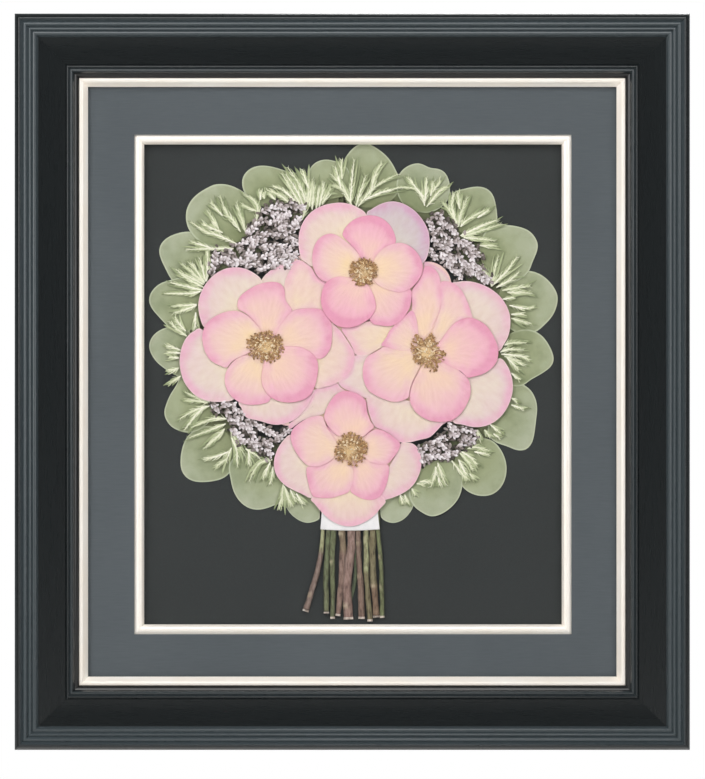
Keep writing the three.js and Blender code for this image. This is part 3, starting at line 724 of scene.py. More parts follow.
# Each rose: how far it lies above the others, where its petals meet, and its petals from the
# lowest up. A petal is how pink it is, and its outline in columns and rows of the view's squares.
ROSES = {
    "bottom": {
        "lift": 0.0, "heart": (350.7, 449), "outer": [
            (0.35, [(330, 410), (318, 416), (303, 420), (289, 430), (289, 424), (296, 419.5),
                    (303.5, 411.5), (309.5, 402), (313, 392), (316, 389), (324, 387.3),
                    (331, 385.8), (337, 383), (341, 388), (345, 391), (338, 400)]),
            (0.25, [(310, 455), (300, 440), (291, 434.5), (285, 438.5), (279, 446), (275, 455),
                    (273.5, 464), (275, 473), (279.5, 480.5), (286, 486.5), (294, 491),
                    (303, 495), (311, 498.5), (318, 490), (320, 470)]),
            (0.3, [(388, 470), (396, 455), (400.5, 444), (406, 443), (413, 443.8), (418, 448.5),
                   (421.3, 457), (421.5, 467), (418.5, 477), (413.5, 485.5), (406, 492),
                   (397, 496.5), (388, 499.5), (380, 500), (380, 485)]),
            (0.65, [(350, 480), (330, 485), (311, 498.5), (314, 503.5), (320, 511), (328, 519),
                   (337, 524.5), (347, 527), (357, 526), (367, 521.5), (375, 515.5), (381, 508),
                   (386, 500.5), (370, 488)]),
        ], "inner": [
            (0.85, [(353, 460), (354, 470), (353, 480), (350, 491), (356, 496), (363, 499.5),
                    (371, 500.5), (378, 498.5), (383, 493), (387, 484), (389, 474), (388.5, 465),
                    (380, 463), (371, 462), (362, 458)]),
            (0.8, [(343, 460), (334, 460), (326, 464.5), (316, 467.3), (307, 467), (306.5, 475),
                   (308, 483), (310, 491), (313, 497), (322, 498.5), (332, 498.5), (341, 495.5),
                   (348, 493), (352, 486), (354, 477), (353, 469), (350, 463)]),
            (0.8, [(363, 450), (364, 440), (369, 433), (376, 429.5), (383, 430.5), (390, 434.5),
                   (396, 439), (400.5, 444), (398, 452), (393, 458.5), (387, 464.5), (378, 464.5),
                   (369, 461.5), (363, 456)]),
            (0.75, [(338, 446), (333, 437), (327, 428), (324, 420), (321.5, 416), (314, 416.5),
                    (306, 419), (298, 424), (292, 430), (290.5, 437), (292, 445), (296, 453),
                    (301, 460), (307, 465.5), (315, 467.3), (324, 465), (331, 460.5), (336, 454)]),
            (0.9, [(346, 437), (338, 436), (332, 431), (326, 423), (324, 416), (328, 405),
                   (333, 397.5), (339, 392.5), (346, 390.8), (354, 392.5), (361, 396), (366, 401),
                   (366.5, 408), (368, 415), (371, 422), (374, 427), (370, 431), (363, 437),
                   (356, 438)]),
        ],
        "tuft": [(333, 450), (339, 438), (350, 432), (361, 436), (368, 446), (366, 458),
                 (358, 466), (345, 466), (336, 460)],
    },
    "right": {
        "lift": 0.05, "heart": (425.5, 353.7), "outer": [
            (0.1, [(430, 290), (424, 262.5), (430, 263), (438, 266.5), (445, 271.5),
                   (450, 280.5), (445, 290)]),
            (0.15, [(462, 330), (455, 300), (452, 283.5), (458, 281.5), (466, 280.5), (476, 282),
                    (486, 285.5), (495, 291), (502, 297.5), (507.5, 306), (510.8, 316),
                    (510.8, 327), (508.5, 337), (504, 345), (500, 351), (490, 350), (475, 340)]),
            (0.1, [(470, 372), (490, 362), (501, 358), (507, 364), (511, 372), (513.3, 382),
                   (513.2, 392), (510.5, 402), (506, 411), (499.5, 418.5), (491.5, 424),
                   (482, 427), (472, 427), (462, 424.5), (453, 421.5), (458, 400), (462, 385)]),
            (0.35, [(395, 398), (375, 392), (366.5, 396.5), (367.5, 406), (370, 416), (374, 426),
                    (384, 430.5), (393, 436.5), (400, 442.5), (410, 442.5), (420, 440),
                    (430, 437.5), (437, 431), (443, 424.5), (447, 421), (430, 412), (412, 402)]),
            (0.8, [(400, 345), (385, 346), (375, 351), (368, 354.5), (355.5, 354.5), (352, 346),
                    (347, 338), (341, 328), (352, 327), (361, 323), (370, 321), (385, 322),
                    (398, 322), (400, 335)]),
            (0.2, [(375, 355), (366, 355), (355, 355.5), (353.5, 364), (351, 371), (345, 377.5),
                   (338, 382.5), (344, 388.5), (352, 392), (360, 395.5), (367, 398), (374, 394),
                   (372, 375)]),
        ], "inner": [
            (0.8, [(420, 340), (413, 331), (412, 320), (412.5, 305), (412, 292), (416, 284),
                   (421, 277), (425, 266), (432, 266.5), (438, 272), (441, 281), (442, 295),
                   (440, 310), (434, 324), (428, 338)]),
            (0.7, [(432, 338), (436, 322), (441, 308), (441, 292), (441, 281.5), (449, 281),
                   (456, 284), (462, 290), (466.5, 298), (470, 307), (472, 314), (473, 319),
                   (462, 320), (453, 327), (445, 336), (439, 342)]),
            (0.75, [(417, 348), (408, 350.5), (396, 349.5), (386, 346.5), (381, 345), (386, 338),
                    (390, 330), (397, 323), (405, 316), (413, 310), (418, 325)]),
            (0.75, [(415, 350), (404, 350.5), (392, 348.5), (384, 346.5), (380, 349), (373, 353),
                    (367, 357), (363.5, 365), (362.8, 374), (364.5, 383), (369, 391), (377, 396),
                    (386, 400), (395, 402), (403, 400.5), (409, 397), (410, 390), (413, 381),
                    (418, 371), (421, 362)]),
            (0.85, [(424, 364), (419, 372), (413.5, 382), (410.2, 392), (410.5, 402), (415, 411),
                    (422, 417), (431, 421), (441, 422), (451, 421), (460, 415), (467, 405),
                    (471, 394), (470.5, 384), (467, 377), (458, 369.5), (446, 363), (434, 360)]),
            (0.95, [(433, 350), (440, 342), (446, 333), (453, 324.5), (461, 319.5), (470, 317.3),
                    (479, 320), (487, 325.5), (493, 334), (497.5, 344), (499, 354), (496.5, 363),
                    (490, 370), (482, 374.5), (473, 376.8), (468, 377.5), (461, 371), (452, 367),
                    (444, 362), (437, 358)]),
        ],
        "tuft": [(411, 346), (414, 333), (424, 338), (432, 333), (438, 343), (447, 355),
                 (441, 363), (435, 373), (424, 368), (413, 360)],
    },
    "left": {
        "lift": 0.15, "heart": (264, 347), "outer": [
            (0.1, [(268, 320), (258, 300), (259, 285), (262, 278), (268, 271.5), (276, 266),
                   (285, 262.3), (294, 260.5), (301, 260), (300, 275), (292, 300), (282, 315)]),
            (0.2, [(245, 330), (222, 330), (205, 328), (200.5, 321), (198, 311), (197.8, 302),
                   (200, 293), (204, 285), (209.5, 278), (216, 272.5), (224, 268.5), (233, 266.7),
                   (242, 267.5), (250, 270.5), (257, 275), (261, 280), (262, 295), (256, 315)]),
            (0.15, [(235, 352), (215, 345), (201, 328.5), (193, 331), (186, 337), (181, 347),
                    (179, 358), (179.5, 369), (183, 381), (189, 390), (196, 396.5), (205, 400.5),
                    (215, 402), (225, 401.5), (234, 399), (240, 385), (240, 365)]),
            (0.3, [(262, 372), (250, 385), (238, 401), (241, 408), (245, 417), (252, 419.5),
                   (261, 421.5), (269, 424), (277, 425), (286, 423.3), (295, 419.5), (302, 413),
                   (308, 405), (312, 396), (314, 388), (300, 375), (280, 368)]),
            (0.9, [(292, 312), (287, 304), (284.8, 296), (283.8, 288), (285, 280), (289, 271),
                   (294, 264.5), (301, 260.2), (306, 263), (312, 268), (316, 275.5), (322, 280.5),
                   (330, 284), (334, 300), (330, 318), (318, 312), (305, 310)]),
            (0.7, [(300, 352), (318, 340), (330, 322), (336, 326.5), (341, 331), (346, 338.5),
                   (350.5, 345.5), (354.5, 353), (354, 362), (351.5, 370), (346, 376.5),
                   (339, 381.5), (332, 385.5), (324, 387), (316, 388.7), (312, 380), (306, 365)]),
        ], "inner": [
            (0.85, [(262, 338), (260, 330), (252, 319), (244, 312), (238, 309), (237, 303),
                    (239, 297), (244, 292), (250, 288), (258, 284), (266, 281.8), (275, 281.5),
                    (281, 284), (284.5, 290), (284.7, 298), (288, 304), (292, 310), (286, 317),
                    (280, 326), (275, 334), (270, 339)]),
            (0.75, [(258, 354), (248, 355), (240, 356.5), (232, 362), (227, 369), (224.3, 377),
                    (225, 386), (229, 394), (235, 400), (243, 404), (252, 405), (262, 404),
                    (270, 400), (272, 385), (268, 368), (264, 358)]),
            (0.8, [(272, 342), (275, 334), (280, 325), (286, 317), (293, 310), (303, 308.3),
                   (313, 308), (322, 309.5), (328, 316), (331.5, 324), (332, 335), (331, 346),
                   (327, 354), (320, 359), (308, 356), (292, 350), (281, 348)]),
            (0.75, [(255, 345), (261, 332), (255, 323), (248, 316), (240, 311.5), (231, 310.5),
                    (222, 312.5), (213, 317), (206, 323), (202.3, 331), (201.8, 341), (204, 350),
                    (208, 358), (214, 363), (221, 366), (226.5, 367.5), (231, 361.5),
                    (238, 357.5), (246, 354), (251, 351)]),
            (0.9, [(270, 352), (281, 347), (291, 346), (301, 347), (310, 351.5), (316, 358),
                   (318, 366), (317, 377), (314, 388), (309, 396), (301, 400.5), (292, 402.5),
                   (282, 402), (273, 399), (266, 393), (261.8, 385), (261, 376), (263, 366),
                   (265, 358)]),
        ],
        "tuft": [(244, 347), (250, 335), (264, 330), (277, 333), (284, 344), (282, 356),
                 (270, 363), (254, 360)],
    },
    "top": {
        "lift": 0.4, "heart": (363.7, 271.6), "outer": [
            (0.4, [(345, 262), (325, 262), (312, 266), (306, 262), (301, 258), (298.5, 247),
                   (298.5, 235), (301.5, 224), (307, 215.5), (314, 209), (323, 204.7),
                   (333, 202.3), (343, 202), (352, 204), (360, 208), (366, 213), (368, 225),
                   (362, 245)]),
            (0.0, [(372, 256), (366, 235), (366.5, 213), (371, 209), (379, 204), (388, 201),
                   (397, 201), (407, 204.5), (416, 211), (423.5, 220), (428.5, 230), (430, 240),
                   (429, 251), (425, 261), (414, 268), (395, 266)]),
        ], "inner": [
            (1.0, [(364, 262), (361, 257), (354, 247), (347, 240), (342.3, 234), (346, 226),
                   (353, 219.5), (361, 216), (370, 214.5), (379, 216), (387, 221), (393, 229),
                   (396, 238), (395, 243.5), (388, 246), (380, 252), (375, 259), (371, 263)]),
            (0.85, [(367, 282), (364, 292), (366, 305), (371, 322), (380, 325), (389, 326),
                    (398, 323), (405, 316), (410, 307), (411.8, 297), (411, 289), (400, 287),
                    (385, 281), (375, 276)]),
            (0.75, [(357, 268), (361, 259), (356, 250), (349, 243.5), (341, 237), (332, 233),
                    (324, 234.5), (317, 240), (313, 249), (312, 259), (313.5, 268), (318, 277),
                    (326, 281.5), (338, 280), (350, 277)]),
            (0.8, [(371, 269), (374, 259), (379, 251.5), (387, 245.5), (396, 242.5), (405, 243),
                   (413, 247.5), (419.5, 255), (423, 265), (422, 274), (417, 282), (410, 288.5),
                   (401, 291.8), (391, 290.5), (381, 286.5), (374, 280)]),
            (1.0, [(357, 280), (350, 277.5), (342, 276), (334, 277), (327, 281), (323, 288),
                   (320.8, 297), (321.5, 306), (325, 314), (331, 321), (338, 326), (347, 327.5),
                   (356, 326), (364, 322), (371, 317), (376, 308), (375, 299), (371.5, 290),
                   (367, 284)]),
        ],
        "tuft": [(349.5, 271), (353, 261), (363, 257), (374, 261), (378, 271), (374, 282),
                 (363, 286.5), (353, 282)],
    },
}


def placed(column, row, height):
    """A place on the picture: its square, and its height in mm."""
    return Vector((
        FRAME_CENTRE.x + (column - CENTRE_COLUMN) * SQUARE,
        BACK - height * MM,
        FRAME_CENTRE.z + (CENTRE_ROW - row) * SQUARE,
    ))


def square_of(place):
    """The square that a place on the picture lies on."""
    return (CENTRE_COLUMN + (place.x - FRAME_CENTRE.x) / SQUARE,
            CENTRE_ROW - (place.z - FRAME_CENTRE.z) / SQUARE)


def smooth_line(places, steps):
    """A smooth line from the second place to the last but one, without that one itself. The two
    outer places only turn its ends, and there are as many steps between each two."""
    line = []
    for before, place, after, beyond in zip(places, places[1:], places[2:], places[3:]):
        leave = place + (after - before) / 6
        reach = after - (beyond - place) / 6
        line += interpolate_bezier(place, leave, reach, after, steps + 1)[:-1]
    return line


def closed_curve(places, steps):
    """A smooth closed line through places, with as many steps between each two."""
    return smooth_line([places[-1], *places, *places[:2]], steps)


def petal_material():
    """Dried petal: yellow at its base, peach, then pink to the rim, or cream where it faded."""
    material, shader, tree = new_material("rose_petal", (246, 208, 192), 0.62)
    fan = add_node(tree, "ShaderNodeUVMap", uv_map="fan").outputs["UV"]
    inward = attribute(tree, "inward")
    reach = attribute(tree, "reach")
    blush = attribute(tree, "blush")
    clouds, grit = mottle(tree, object_place(tree), 70.0, 1500.0)
    veins, _ = mottle(tree, stretched(tree, fan, (7.0, 0.05, 1.0)), 2.2, 9.0)
    drift = spread(tree, clouds, -0.16, 0.16)
    near_rim = spread(tree, inward, 0.22, 0.0, 0.0, 0.5, interpolation_type="SMOOTHSTEP")
    uneven = worked_out(tree, "MULTIPLY", near_rim, spread(tree, clouds, -0.2, 2.2))
    far_out = worked_out(tree, "MULTIPLY_ADD", reach, 0.72, drift)
    shifted = worked_out(tree, "ADD", far_out, uneven)
    blushed = worked_out(tree, "ADD", shifted, spread(tree, blush, -0.2, 0.2, 0.5, 1.0))
    pink = ramp(tree, blushed, (0.1, 246, 214, 158), (0.28, 244, 210, 180), (0.48, 241, 200, 191),
                (0.7, 239, 184, 197), (0.93, 230, 158, 184))
    cream = ramp(tree, shifted, (0.2, 238, 223, 190), (0.45, 229, 216, 201),
                 (0.66, 226, 203, 202), (0.9, 228, 180, 198))
    shade = blended(tree, blush, cream, pink)
    greyed = ramp(tree, blush, (0.0, 234, 236, 248), (0.04, 255, 255, 255))
    faded = blended(tree, 1.0, shade, greyed, "MULTIPLY")
    streaks = ramp(tree, veins, (0.3, 249, 244, 242), (0.62, 255, 255, 255))
    veined = blended(tree, 1.0, faded, streaks, "MULTIPLY")
    edge = spread(tree, inward, 0.5, 0.0, 0.004, 0.03)
    lips = ramp(tree, blush, (0.3, 250, 228, 220), (0.9, 222, 146, 164))
    tree.links.new(blended(tree, edge, veined, lips), shader.inputs["Base Color"])
    rough_and_raised(tree, shader, averaged(tree, 0.35, veins, grit), 0.55, 0.75, 0.06, 0.3)
    shader.inputs["Specular IOR Level"].default_value = 0.3
    return material


def petal_hearts(outlines):
    """The middles of a rose's petals, in order round the rose."""
    hearts = [centre_of([placed(*square, 0) for square in outline]) for _, outline in outlines]
    middle = centre_of(hearts)
    return sorted(hearts, key=lambda place: math.atan2(*(place - middle).xz))


rose_petal = petal_material()
for rose, parts in ROSES.items():
    cup = [square_of(place) for place in petal_hearts(parts["inner"])]
    levels = [CUP_LEVEL - OUTER_RISE * step for step in range(len(parts["outer"]), 0, -1)]
    levels += [CUP_LEVEL + INNER_RISE * step for step in range(len(parts["inner"]) + 1)]
    faded = [(blush * OUTER_FADE, outline) for blush, outline in parts["outer"]]
    petals = faded + [(CUP_BLUSH, cup)] + parts["inner"]
    for count, ((blush, outline), level) in enumerate(zip(petals, levels), 1):
        loop = closed_curve([placed(*square, 0) for square in outline], PETAL_STEPS)
        for place in loop:
            place.y = 0
        heart = centre_of(loop)
        base = placed(*parts["heart"], 0)
        base.y = 0

        def petal_relief(place, inward, level=level + parts["lift"]):
            curl = PETAL_CURL * math.exp(-inward / CURL_REACH)
            return level + unevenness(place, PETAL_RIPPLE) + curl

        bm = pressed_sheet(loop, heart, base, petal_relief)
        stamp(bm, "blush", blush)
        petal = make_piece(f"rose_{rose}_petal_{count}", bm, rose_petal)
        finish_sheet(petal, PETAL_THICKNESS, 1)
        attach(petal, "root")
        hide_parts(f"rose_{rose}")

# Loose petals lie below the roses where these meet, and show only in the gaps between them.
LOOSE_LEVEL, LOOSE_RISE = 7.2, 0.06
LOOSE_BLUSH = 0.6
LOOSE_REACH = 0.6
LOOSE_PETALS = [((350, 392), 30), ((382, 424), 26), ((338, 338), 30), ((306, 280), 26),
                ((428, 285), 24), ((288, 408), 18), ((452, 406), 16), ((392, 468), 20),
                ((300, 330), 24), ((398, 336), 24), ((330, 455), 30), ((372, 455), 30),
                ((322, 410), 18), ((408, 396), 18), ((312, 386), 18), ((412, 300), 20),
                ((362, 340), 22)]
for count, ((column, row), radius) in enumerate(LOOSE_PETALS):
    bm = bmesh.new()
    middle = placed(column, row, 0)
    middle.y = 0
    rim = bmesh.ops.create_circle(bm, segments=36, radius=radius * SQUARE)["verts"]
    loop = [middle + Vector((vert.co.x, 0, vert.co.y)) for vert in rim]
    bm.free()
    level = LOOSE_LEVEL + LOOSE_RISE * (count % 3)
    bm = pressed_sheet(loop, middle, middle + Vector((0, 0, -radius * SQUARE)),
                       lambda place, inward: level)
    stamp(bm, "blush", LOOSE_BLUSH)
    stamp(bm, "reach", LOOSE_REACH)
    petal = make_piece(f"loose_petal_{count + 1}", bm, rose_petal)
    finish_sheet(petal, LOOSE_RISE / 2, 1)
    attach(petal, "root")

# ----------------------------------------------------------------- stamens
# The tuft in the middle of each rose: a button of pistils, and a ring of fine
# dried filaments round it, each with its anther.
FILAMENTS = 110
FILAMENT_SIDES = 4
FILAMENT_WIDTHS = (0.6, 0.48, 0.2)  # at its foot, half way and at its tip
FILAMENT_FOOT = (0.4, 0.6)  # its share of the way from the tuft's middle to its tip
FILAMENT_TIP = (0.72, 0.98)  # its share of the way from the tuft's middle to its rim
ANTHER = (2.2, 1.3, 0.9)  # long, wide, thick
PISTILS = 60
PISTIL = (2.6, 1.2, 1.0)
BUTTON_REACH = 0.72  # how far out the pistils lie, as a share of the tuft
BUTTON_RISE = 0.45
TUFT_LEVEL = 9.7
GOLDEN_ANGLE = math.pi * (3 - math.sqrt(5))


def laid(place, along, size):
    """A matrix that puts a 1 m shape at a place on the picture, its length along the way given;
    size is (long, wide, thick) in mm."""
    forward = Vector((0, -1, 0))
    way = along.normalized()
    side = forward.cross(way).normalized()
    lift = way.cross(side)
    turn = Matrix((way * size[0] * MM, side * size[1] * MM, lift * size[2] * MM)).transposed()
    return Matrix.Translation(place) @ turn.to_4x4()


def bead(bm, tone, place, along, size, shade):
    """A bud or grain in bm, with its own share of light and dark."""
    made = bmesh.ops.create_icosphere(bm, subdivisions=1, radius=0.5, matrix=laid(place, along, size))
    for vert in made["verts"]:
        vert[tone] = shade
    return made["verts"]


def tube(bm, path, sizes, sides):
    """A closed stalk in bm through places, with an oval ring (wide, thick in mm) round each.
    Returns the rings of vertices, from the first place on."""
    rings = []
    edges = []
    for index, (place, (wide, thick)) in enumerate(zip(path, sizes)):
        way = path[min(index + 1, len(path) - 1)] - path[max(index - 1, 0)]
        turn = laid(place, way, (1, wide, thick)) @ Matrix.Rotation(math.pi / 2, 4, "Y")
        ring = bmesh.ops.create_circle(
            bm, cap_ends=False, segments=sides, radius=0.5, matrix=turn)["verts"]
        round_it = list({edge for vert in ring for edge in vert.link_edges})
        if edges:
            bmesh.ops.bridge_loops(bm, edges=edges + round_it)
        else:
            bmesh.ops.contextual_create(bm, geom=round_it)
        edges = round_it
        rings.append(ring)
    bmesh.ops.contextual_create(bm, geom=edges)
    return rings


def tuft_material():
    """Dried stamens: golden brown, each one lighter or darker by its tone."""
    material, shader, tree = new_material("rose_stamens", (160, 120, 74), 0.7)
    _, grit = mottle(tree, object_place(tree), 300.0, 2500.0)
    shades = ramp(tree, attribute(tree, "tone"), (0.0, 112, 82, 52), (0.35, 172, 132, 86),
                  (0.7, 212, 180, 136), (1.0, 240, 222, 192))
    tree.links.new(shades, shader.inputs["Base Color"])
    rough_and_raised(tree, shader, grit, 0.6, 0.8, 0.08, 0.5)
    return material


rose_stamens = tuft_material()
for rose, parts in ROSES.items():
    dice = random.Random(f"tuft {rose}")
    bm = bmesh.new()
    tone = bm.verts.layers.float.new("tone")
    corners = [placed(*square, TUFT_LEVEL + parts["lift"]) for square in parts["tuft"]]
    middle = centre_of(corners)
    rim = closed_curve(corners, 12)
    for _ in range(FILAMENTS):
        tip = middle.lerp(dice.choice(rim), dice.uniform(*FILAMENT_TIP))
        way = tip - middle
        foot = middle + way * dice.uniform(*FILAMENT_FOOT)
        bend = Vector((way.z, 0, -way.x)) * dice.uniform(-0.12, 0.12)
        tip.y -= dice.uniform(-0.15, 0.5) * MM
        path = [foot, (foot + tip) / 2 + bend - Vector((0, 0.2 * MM, 0)), tip]
        shade = dice.uniform(0.2, 0.6)
        sizes = [(width, width) for width in FILAMENT_WIDTHS]
        for ring in tube(bm, path, sizes, FILAMENT_SIDES):
            for vert in ring:
                vert[tone] = shade
        swing = Matrix.Rotation(dice.uniform(-1.2, 1.2), 3, "Y")
        bead(bm, tone, tip, swing @ way, ANTHER, dice.uniform(0.05, 0.6))
    for number in range(PISTILS):
        away = math.sqrt((number + 0.5) / PISTILS) * BUTTON_REACH
        turn = Matrix.Rotation(number * GOLDEN_ANGLE, 3, "Y")
        place = middle.lerp(dice.choice(rim), away)
        place.y -= (BUTTON_RISE * (1 - away) + dice.uniform(-0.1, 0.15)) * MM
        bead(bm, tone, place, turn @ Vector((1, 0, 0.3)), PISTIL, dice.uniform(0.55, 1.0))
    bmesh.ops.recalc_face_normals(bm, faces=bm.faces)
    tuft = make_piece(f"rose_{rose}_stamens", bm, rose_stamens)
    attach(tuft, "root")
    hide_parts(f"rose_{rose}")

# ----------------------------------------------------------------- florets
# Sprigs of small grey-mauve buds, like dried lavender, laid side by side between
# the roses and the leaves. Dark husks and darker lower buds fill the gaps below them,
# their own brown darkened further as painted shade.
BUD = (4.7, 2.4, 1.6)
HUSK = (3.8, 2.4, 0.8)
BUD_SPACING = 0.95  # along a sprig, in mm
BUD_LEVEL = 7.3
BUD_RISE = 1.0
BUD_LEAN = (0.35, 0.95)  # radians off the sprig's own way
BUD_ASIDE = (0.7, 1.5)  # how far beside its sprig a bud lies
BUD_TONES = (0.5, 0.95)
DULL_TONES = (0.2, 0.4)
BRIGHT_SHARE = 0.85  # of the buds; the others are dull
# A bud's tip is painted lighter and its foot darker: a painted highlight and painted shade.
TIP_PAINTED_LIGHT = 0.26  # how much a bud's tone rises to its tip, and falls to its foot
# The lower buds and husks take darker tones: partly their own brown, and partly painted shade under
# the buds above.
SHADED_LOWER_LAYERS = ((6.9, BUD, (0.1, 0.55)), (6.4, HUSK, (0.0, 0.25)))  # level, shape and tones
SCATTER = 2.4  # how far from its sprig a lower bud or husk tends to lie

# Each sprig is a line of squares from its foot to its tip.
SPRIGS = {
    "top_left": [
        [(211, 273), (216, 252)], [(246, 262), (250, 250), (260, 234), (279, 235)],
        [(247, 233), (262, 219)], [(262, 211), (277, 205), (286, 208)],
        [(271, 213), (281, 216), (276, 222)], [(280, 230), (286, 223), (289, 238)],
        [(290, 203), (298, 207), (304, 206)], [(293, 220), (298, 226)],
        [(262, 257), (274, 252), (282, 248)], [(284, 257), (289, 249), (297, 241)],
        [(247, 267), (253, 261), (259, 264)], [(239, 263), (244, 257)],
        [(247, 255), (251, 251)], [(290, 256), (296, 255)], [(226, 260), (233, 264)],
        [(228, 250), (238, 264)], [(236, 246), (252, 238)], [(268, 224), (284, 214)],
        [(214, 262), (226, 256)], [(292, 232), (299, 216)],
        [(262, 246), (286, 246)], [(268, 257), (288, 264)], [(258, 270), (270, 264)],
        [(272, 268), (282, 256)], [(284, 232), (296, 242)], [(250, 243), (266, 238)],
        [(286, 268), (296, 252)], [(240, 262), (256, 256)],
        [(276, 226), (290, 212)],
    ],
    "top_right": [
        [(433, 229), (430, 221)], [(436, 214), (443, 217)], [(440, 220), (449, 226)],
        [(449, 223), (456, 235)], [(432, 234), (438, 230), (445, 235), (449, 242)],
        [(433, 237), (438, 245)], [(440, 243), (450, 250)],
        [(449, 244), (457, 240), (462, 246)], [(430, 249), (437, 258)],
        [(440, 258), (444, 254), (449, 262), (449, 267)], [(450, 254), (455, 263)],
        [(457, 254), (464, 262), (466, 269)], [(463, 240), (472, 246), (480, 256)],
        [(472, 262), (480, 270), (490, 280)], [(451, 268), (458, 271), (462, 278)],
        [(468, 250), (474, 259)], [(467, 264), (473, 273)], [(476, 272), (487, 282)],
    ],
    "low_left": [
        [(211, 404), (219, 411)], [(222, 404), (235, 405)], [(225, 410), (232, 423)],
        [(233, 408), (243, 417)], [(236, 418), (243, 428)], [(231, 428), (241, 438)],
        [(246, 421), (257, 425)], [(247, 426), (254, 438)], [(258, 427), (270, 434)],
        [(268, 432), (279, 437)], [(239, 441), (257, 443)], [(254, 444), (261, 451)],
        [(262, 441), (272, 446)], [(276, 441), (289, 429)], [(265, 448), (272, 456)],
    ],
    "low_right": [
        [(449, 424), (453, 431)], [(454, 427), (459, 433)], [(461, 429), (468, 431)],
        [(471, 430), (476, 433)], [(450, 433), (458, 437)], [(440, 436), (448, 440)],
        [(462, 437), (475, 441)], [(459, 447), (468, 442)], [(437, 440), (442, 445)],
        [(424, 449), (437, 442)], [(430, 448), (438, 452)], [(441, 443), (449, 451)],
        [(426, 457), (450, 457)], [(446, 456), (458, 453)], [(419, 450), (424, 454)],
        [(420, 459), (423, 463)],
    ],
}


def open_curve(places, steps):
    """A smooth line through places, with as many steps between each two."""
    return [*smooth_line([places[0], *places, places[-1]], steps), places[-1]]


def along_line(line, share):
    """The place at a share of the way along a line of places, and the line's way there."""
    at = share * (len(line) - 1)
    index = min(int(at), len(line) - 2)
    start, end = line[index], line[index + 1]
    return start.lerp(end, at - index), end - start


def length_of(line):
    """How long a line of places is, in mm."""
    return sum((b - a).length for a, b in zip(line, line[1:])) / MM


def floret_material():
    """Dried buds: grey mauve by each bud's tone, with painted highlights at their tips and painted
    shade at their feet, over brown husks darkened further as painted shade.
    """
    material, shader, tree = new_material("floret_mauve", (188, 174, 180), 0.8)
    _, grit = mottle(tree, object_place(tree), 300.0, 1800.0)
    mixed = worked_out(tree, "ADD", attribute(tree, "tone"), spread(tree, grit, -0.14, 0.14))
    shades = ramp(tree, mixed, (0.05, 44, 40, 36), (0.3, 108, 98, 91), (0.55, 172, 160, 158),
                  (0.78, 216, 205, 208), (1.0, 244, 237, 239))
    tree.links.new(shades, shader.inputs["Base Color"])
    rough_and_raised(tree, shader, grit, 0.7, 0.9, 0.15, 0.6)
    return material


floret_mauve = floret_material()
for cluster, sprigs in SPRIGS.items():
    dice = random.Random(f"florets {cluster}")
    bm = bmesh.new()
    tone = bm.verts.layers.float.new("tone")
    for sprig in sprigs:
        line = open_curve([placed(*square, BUD_LEVEL) for square in sprig], 6)
        count = max(4, round(length_of(line) / BUD_SPACING))
        for number in range(count):
            place, way = along_line(line, (number + 0.5) / count)
            hand = (-1, 1, 0)[number % 3]
            side = Vector((-way.z, 0, way.x)).normalized()
            lean = Matrix.Rotation(hand * dice.uniform(*BUD_LEAN) + dice.uniform(-0.3, 0.3), 3, "Y")
            spot = place - side * hand * dice.uniform(*BUD_ASIDE) * MM
            spot.y -= (dice.uniform(0.0, BUD_RISE) if hand else BUD_RISE) * MM
            size = [length * dice.uniform(0.75, 1.2) for length in BUD]
            tones = BUD_TONES if dice.random() < BRIGHT_SHARE else DULL_TONES
            out = (lean @ way).normalized()
            for vert in bead(bm, tone, spot, out, size, dice.uniform(*tones)):
                # The tip is painted lighter and the foot darker: painted highlight and shade.
                vert[tone] += TIP_PAINTED_LIGHT * (vert.co - spot).normalized().dot(out)
            # Lower buds and husks below, darker as painted shade as well as their own brown.
            for level, shape, tones in SHADED_LOWER_LAYERS:
                loose = place + Vector((dice.gauss(0, SCATTER), 0, dice.gauss(0, SCATTER))) * MM
                loose.y = BACK - (level + dice.uniform(-0.2, 0.3)) * MM
                turn = Matrix.Rotation(dice.uniform(-1.2, 1.2), 3, "Y")
                bead(bm, tone, loose, turn @ way, shape, dice.uniform(*tones))
    bmesh.ops.recalc_face_normals(bm, faces=bm.faces)
    florets = make_piece(f"floret_sprigs_{cluster}", bm, floret_mauve)
    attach(florets, "root")
    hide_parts(f"florets_{cluster}")

# ------------------------------------------------------------------ sprays
# Pale feathery sprays, like dried fern tips, that fan out over the leaves from
# under the roses: tapering blades with fine needles, and greener ones below.
BLADE = 1.4  # width in mm at its widest
BLADE_THICKNESS = 0.5
BLADE_SIDES = 6
BLADE_LEVELS = (7.0, 6.8)  # at its foot and at its tip
BLADE_TONES = (0.85, 1.05)
NEEDLE = (4.6, 0.75, 0.35)
NEEDLE_SPACING = 1.15
NEEDLE_LEAN = (0.35, 0.75)  # radians off the blade's own way
NEEDLE_TONES = (0.5, 0.95)
SIDE_BLADE = 0.72  # width of the short blades that branch off each
SIDE_BLADE_REACH = (4.5, 9.0)
SIDE_BLADE_LEVELS = (6.95, 6.75)
SIDE_BLADE_SPACING = 2.2
SIDE_BLADE_LEAN = (0.35, 0.7)
SIDE_BLADE_TONES = (0.5, 0.95)
UNDER_BLADES = 4  # to each blade above
UNDER_BLADE = 2.0
UNDER_LEVEL = 6.5
UNDER_SWAY = (1.5, 3.0)  # how far aside of the blade above one swings, in squares
UNDER_TONES = (0.3, 0.6)

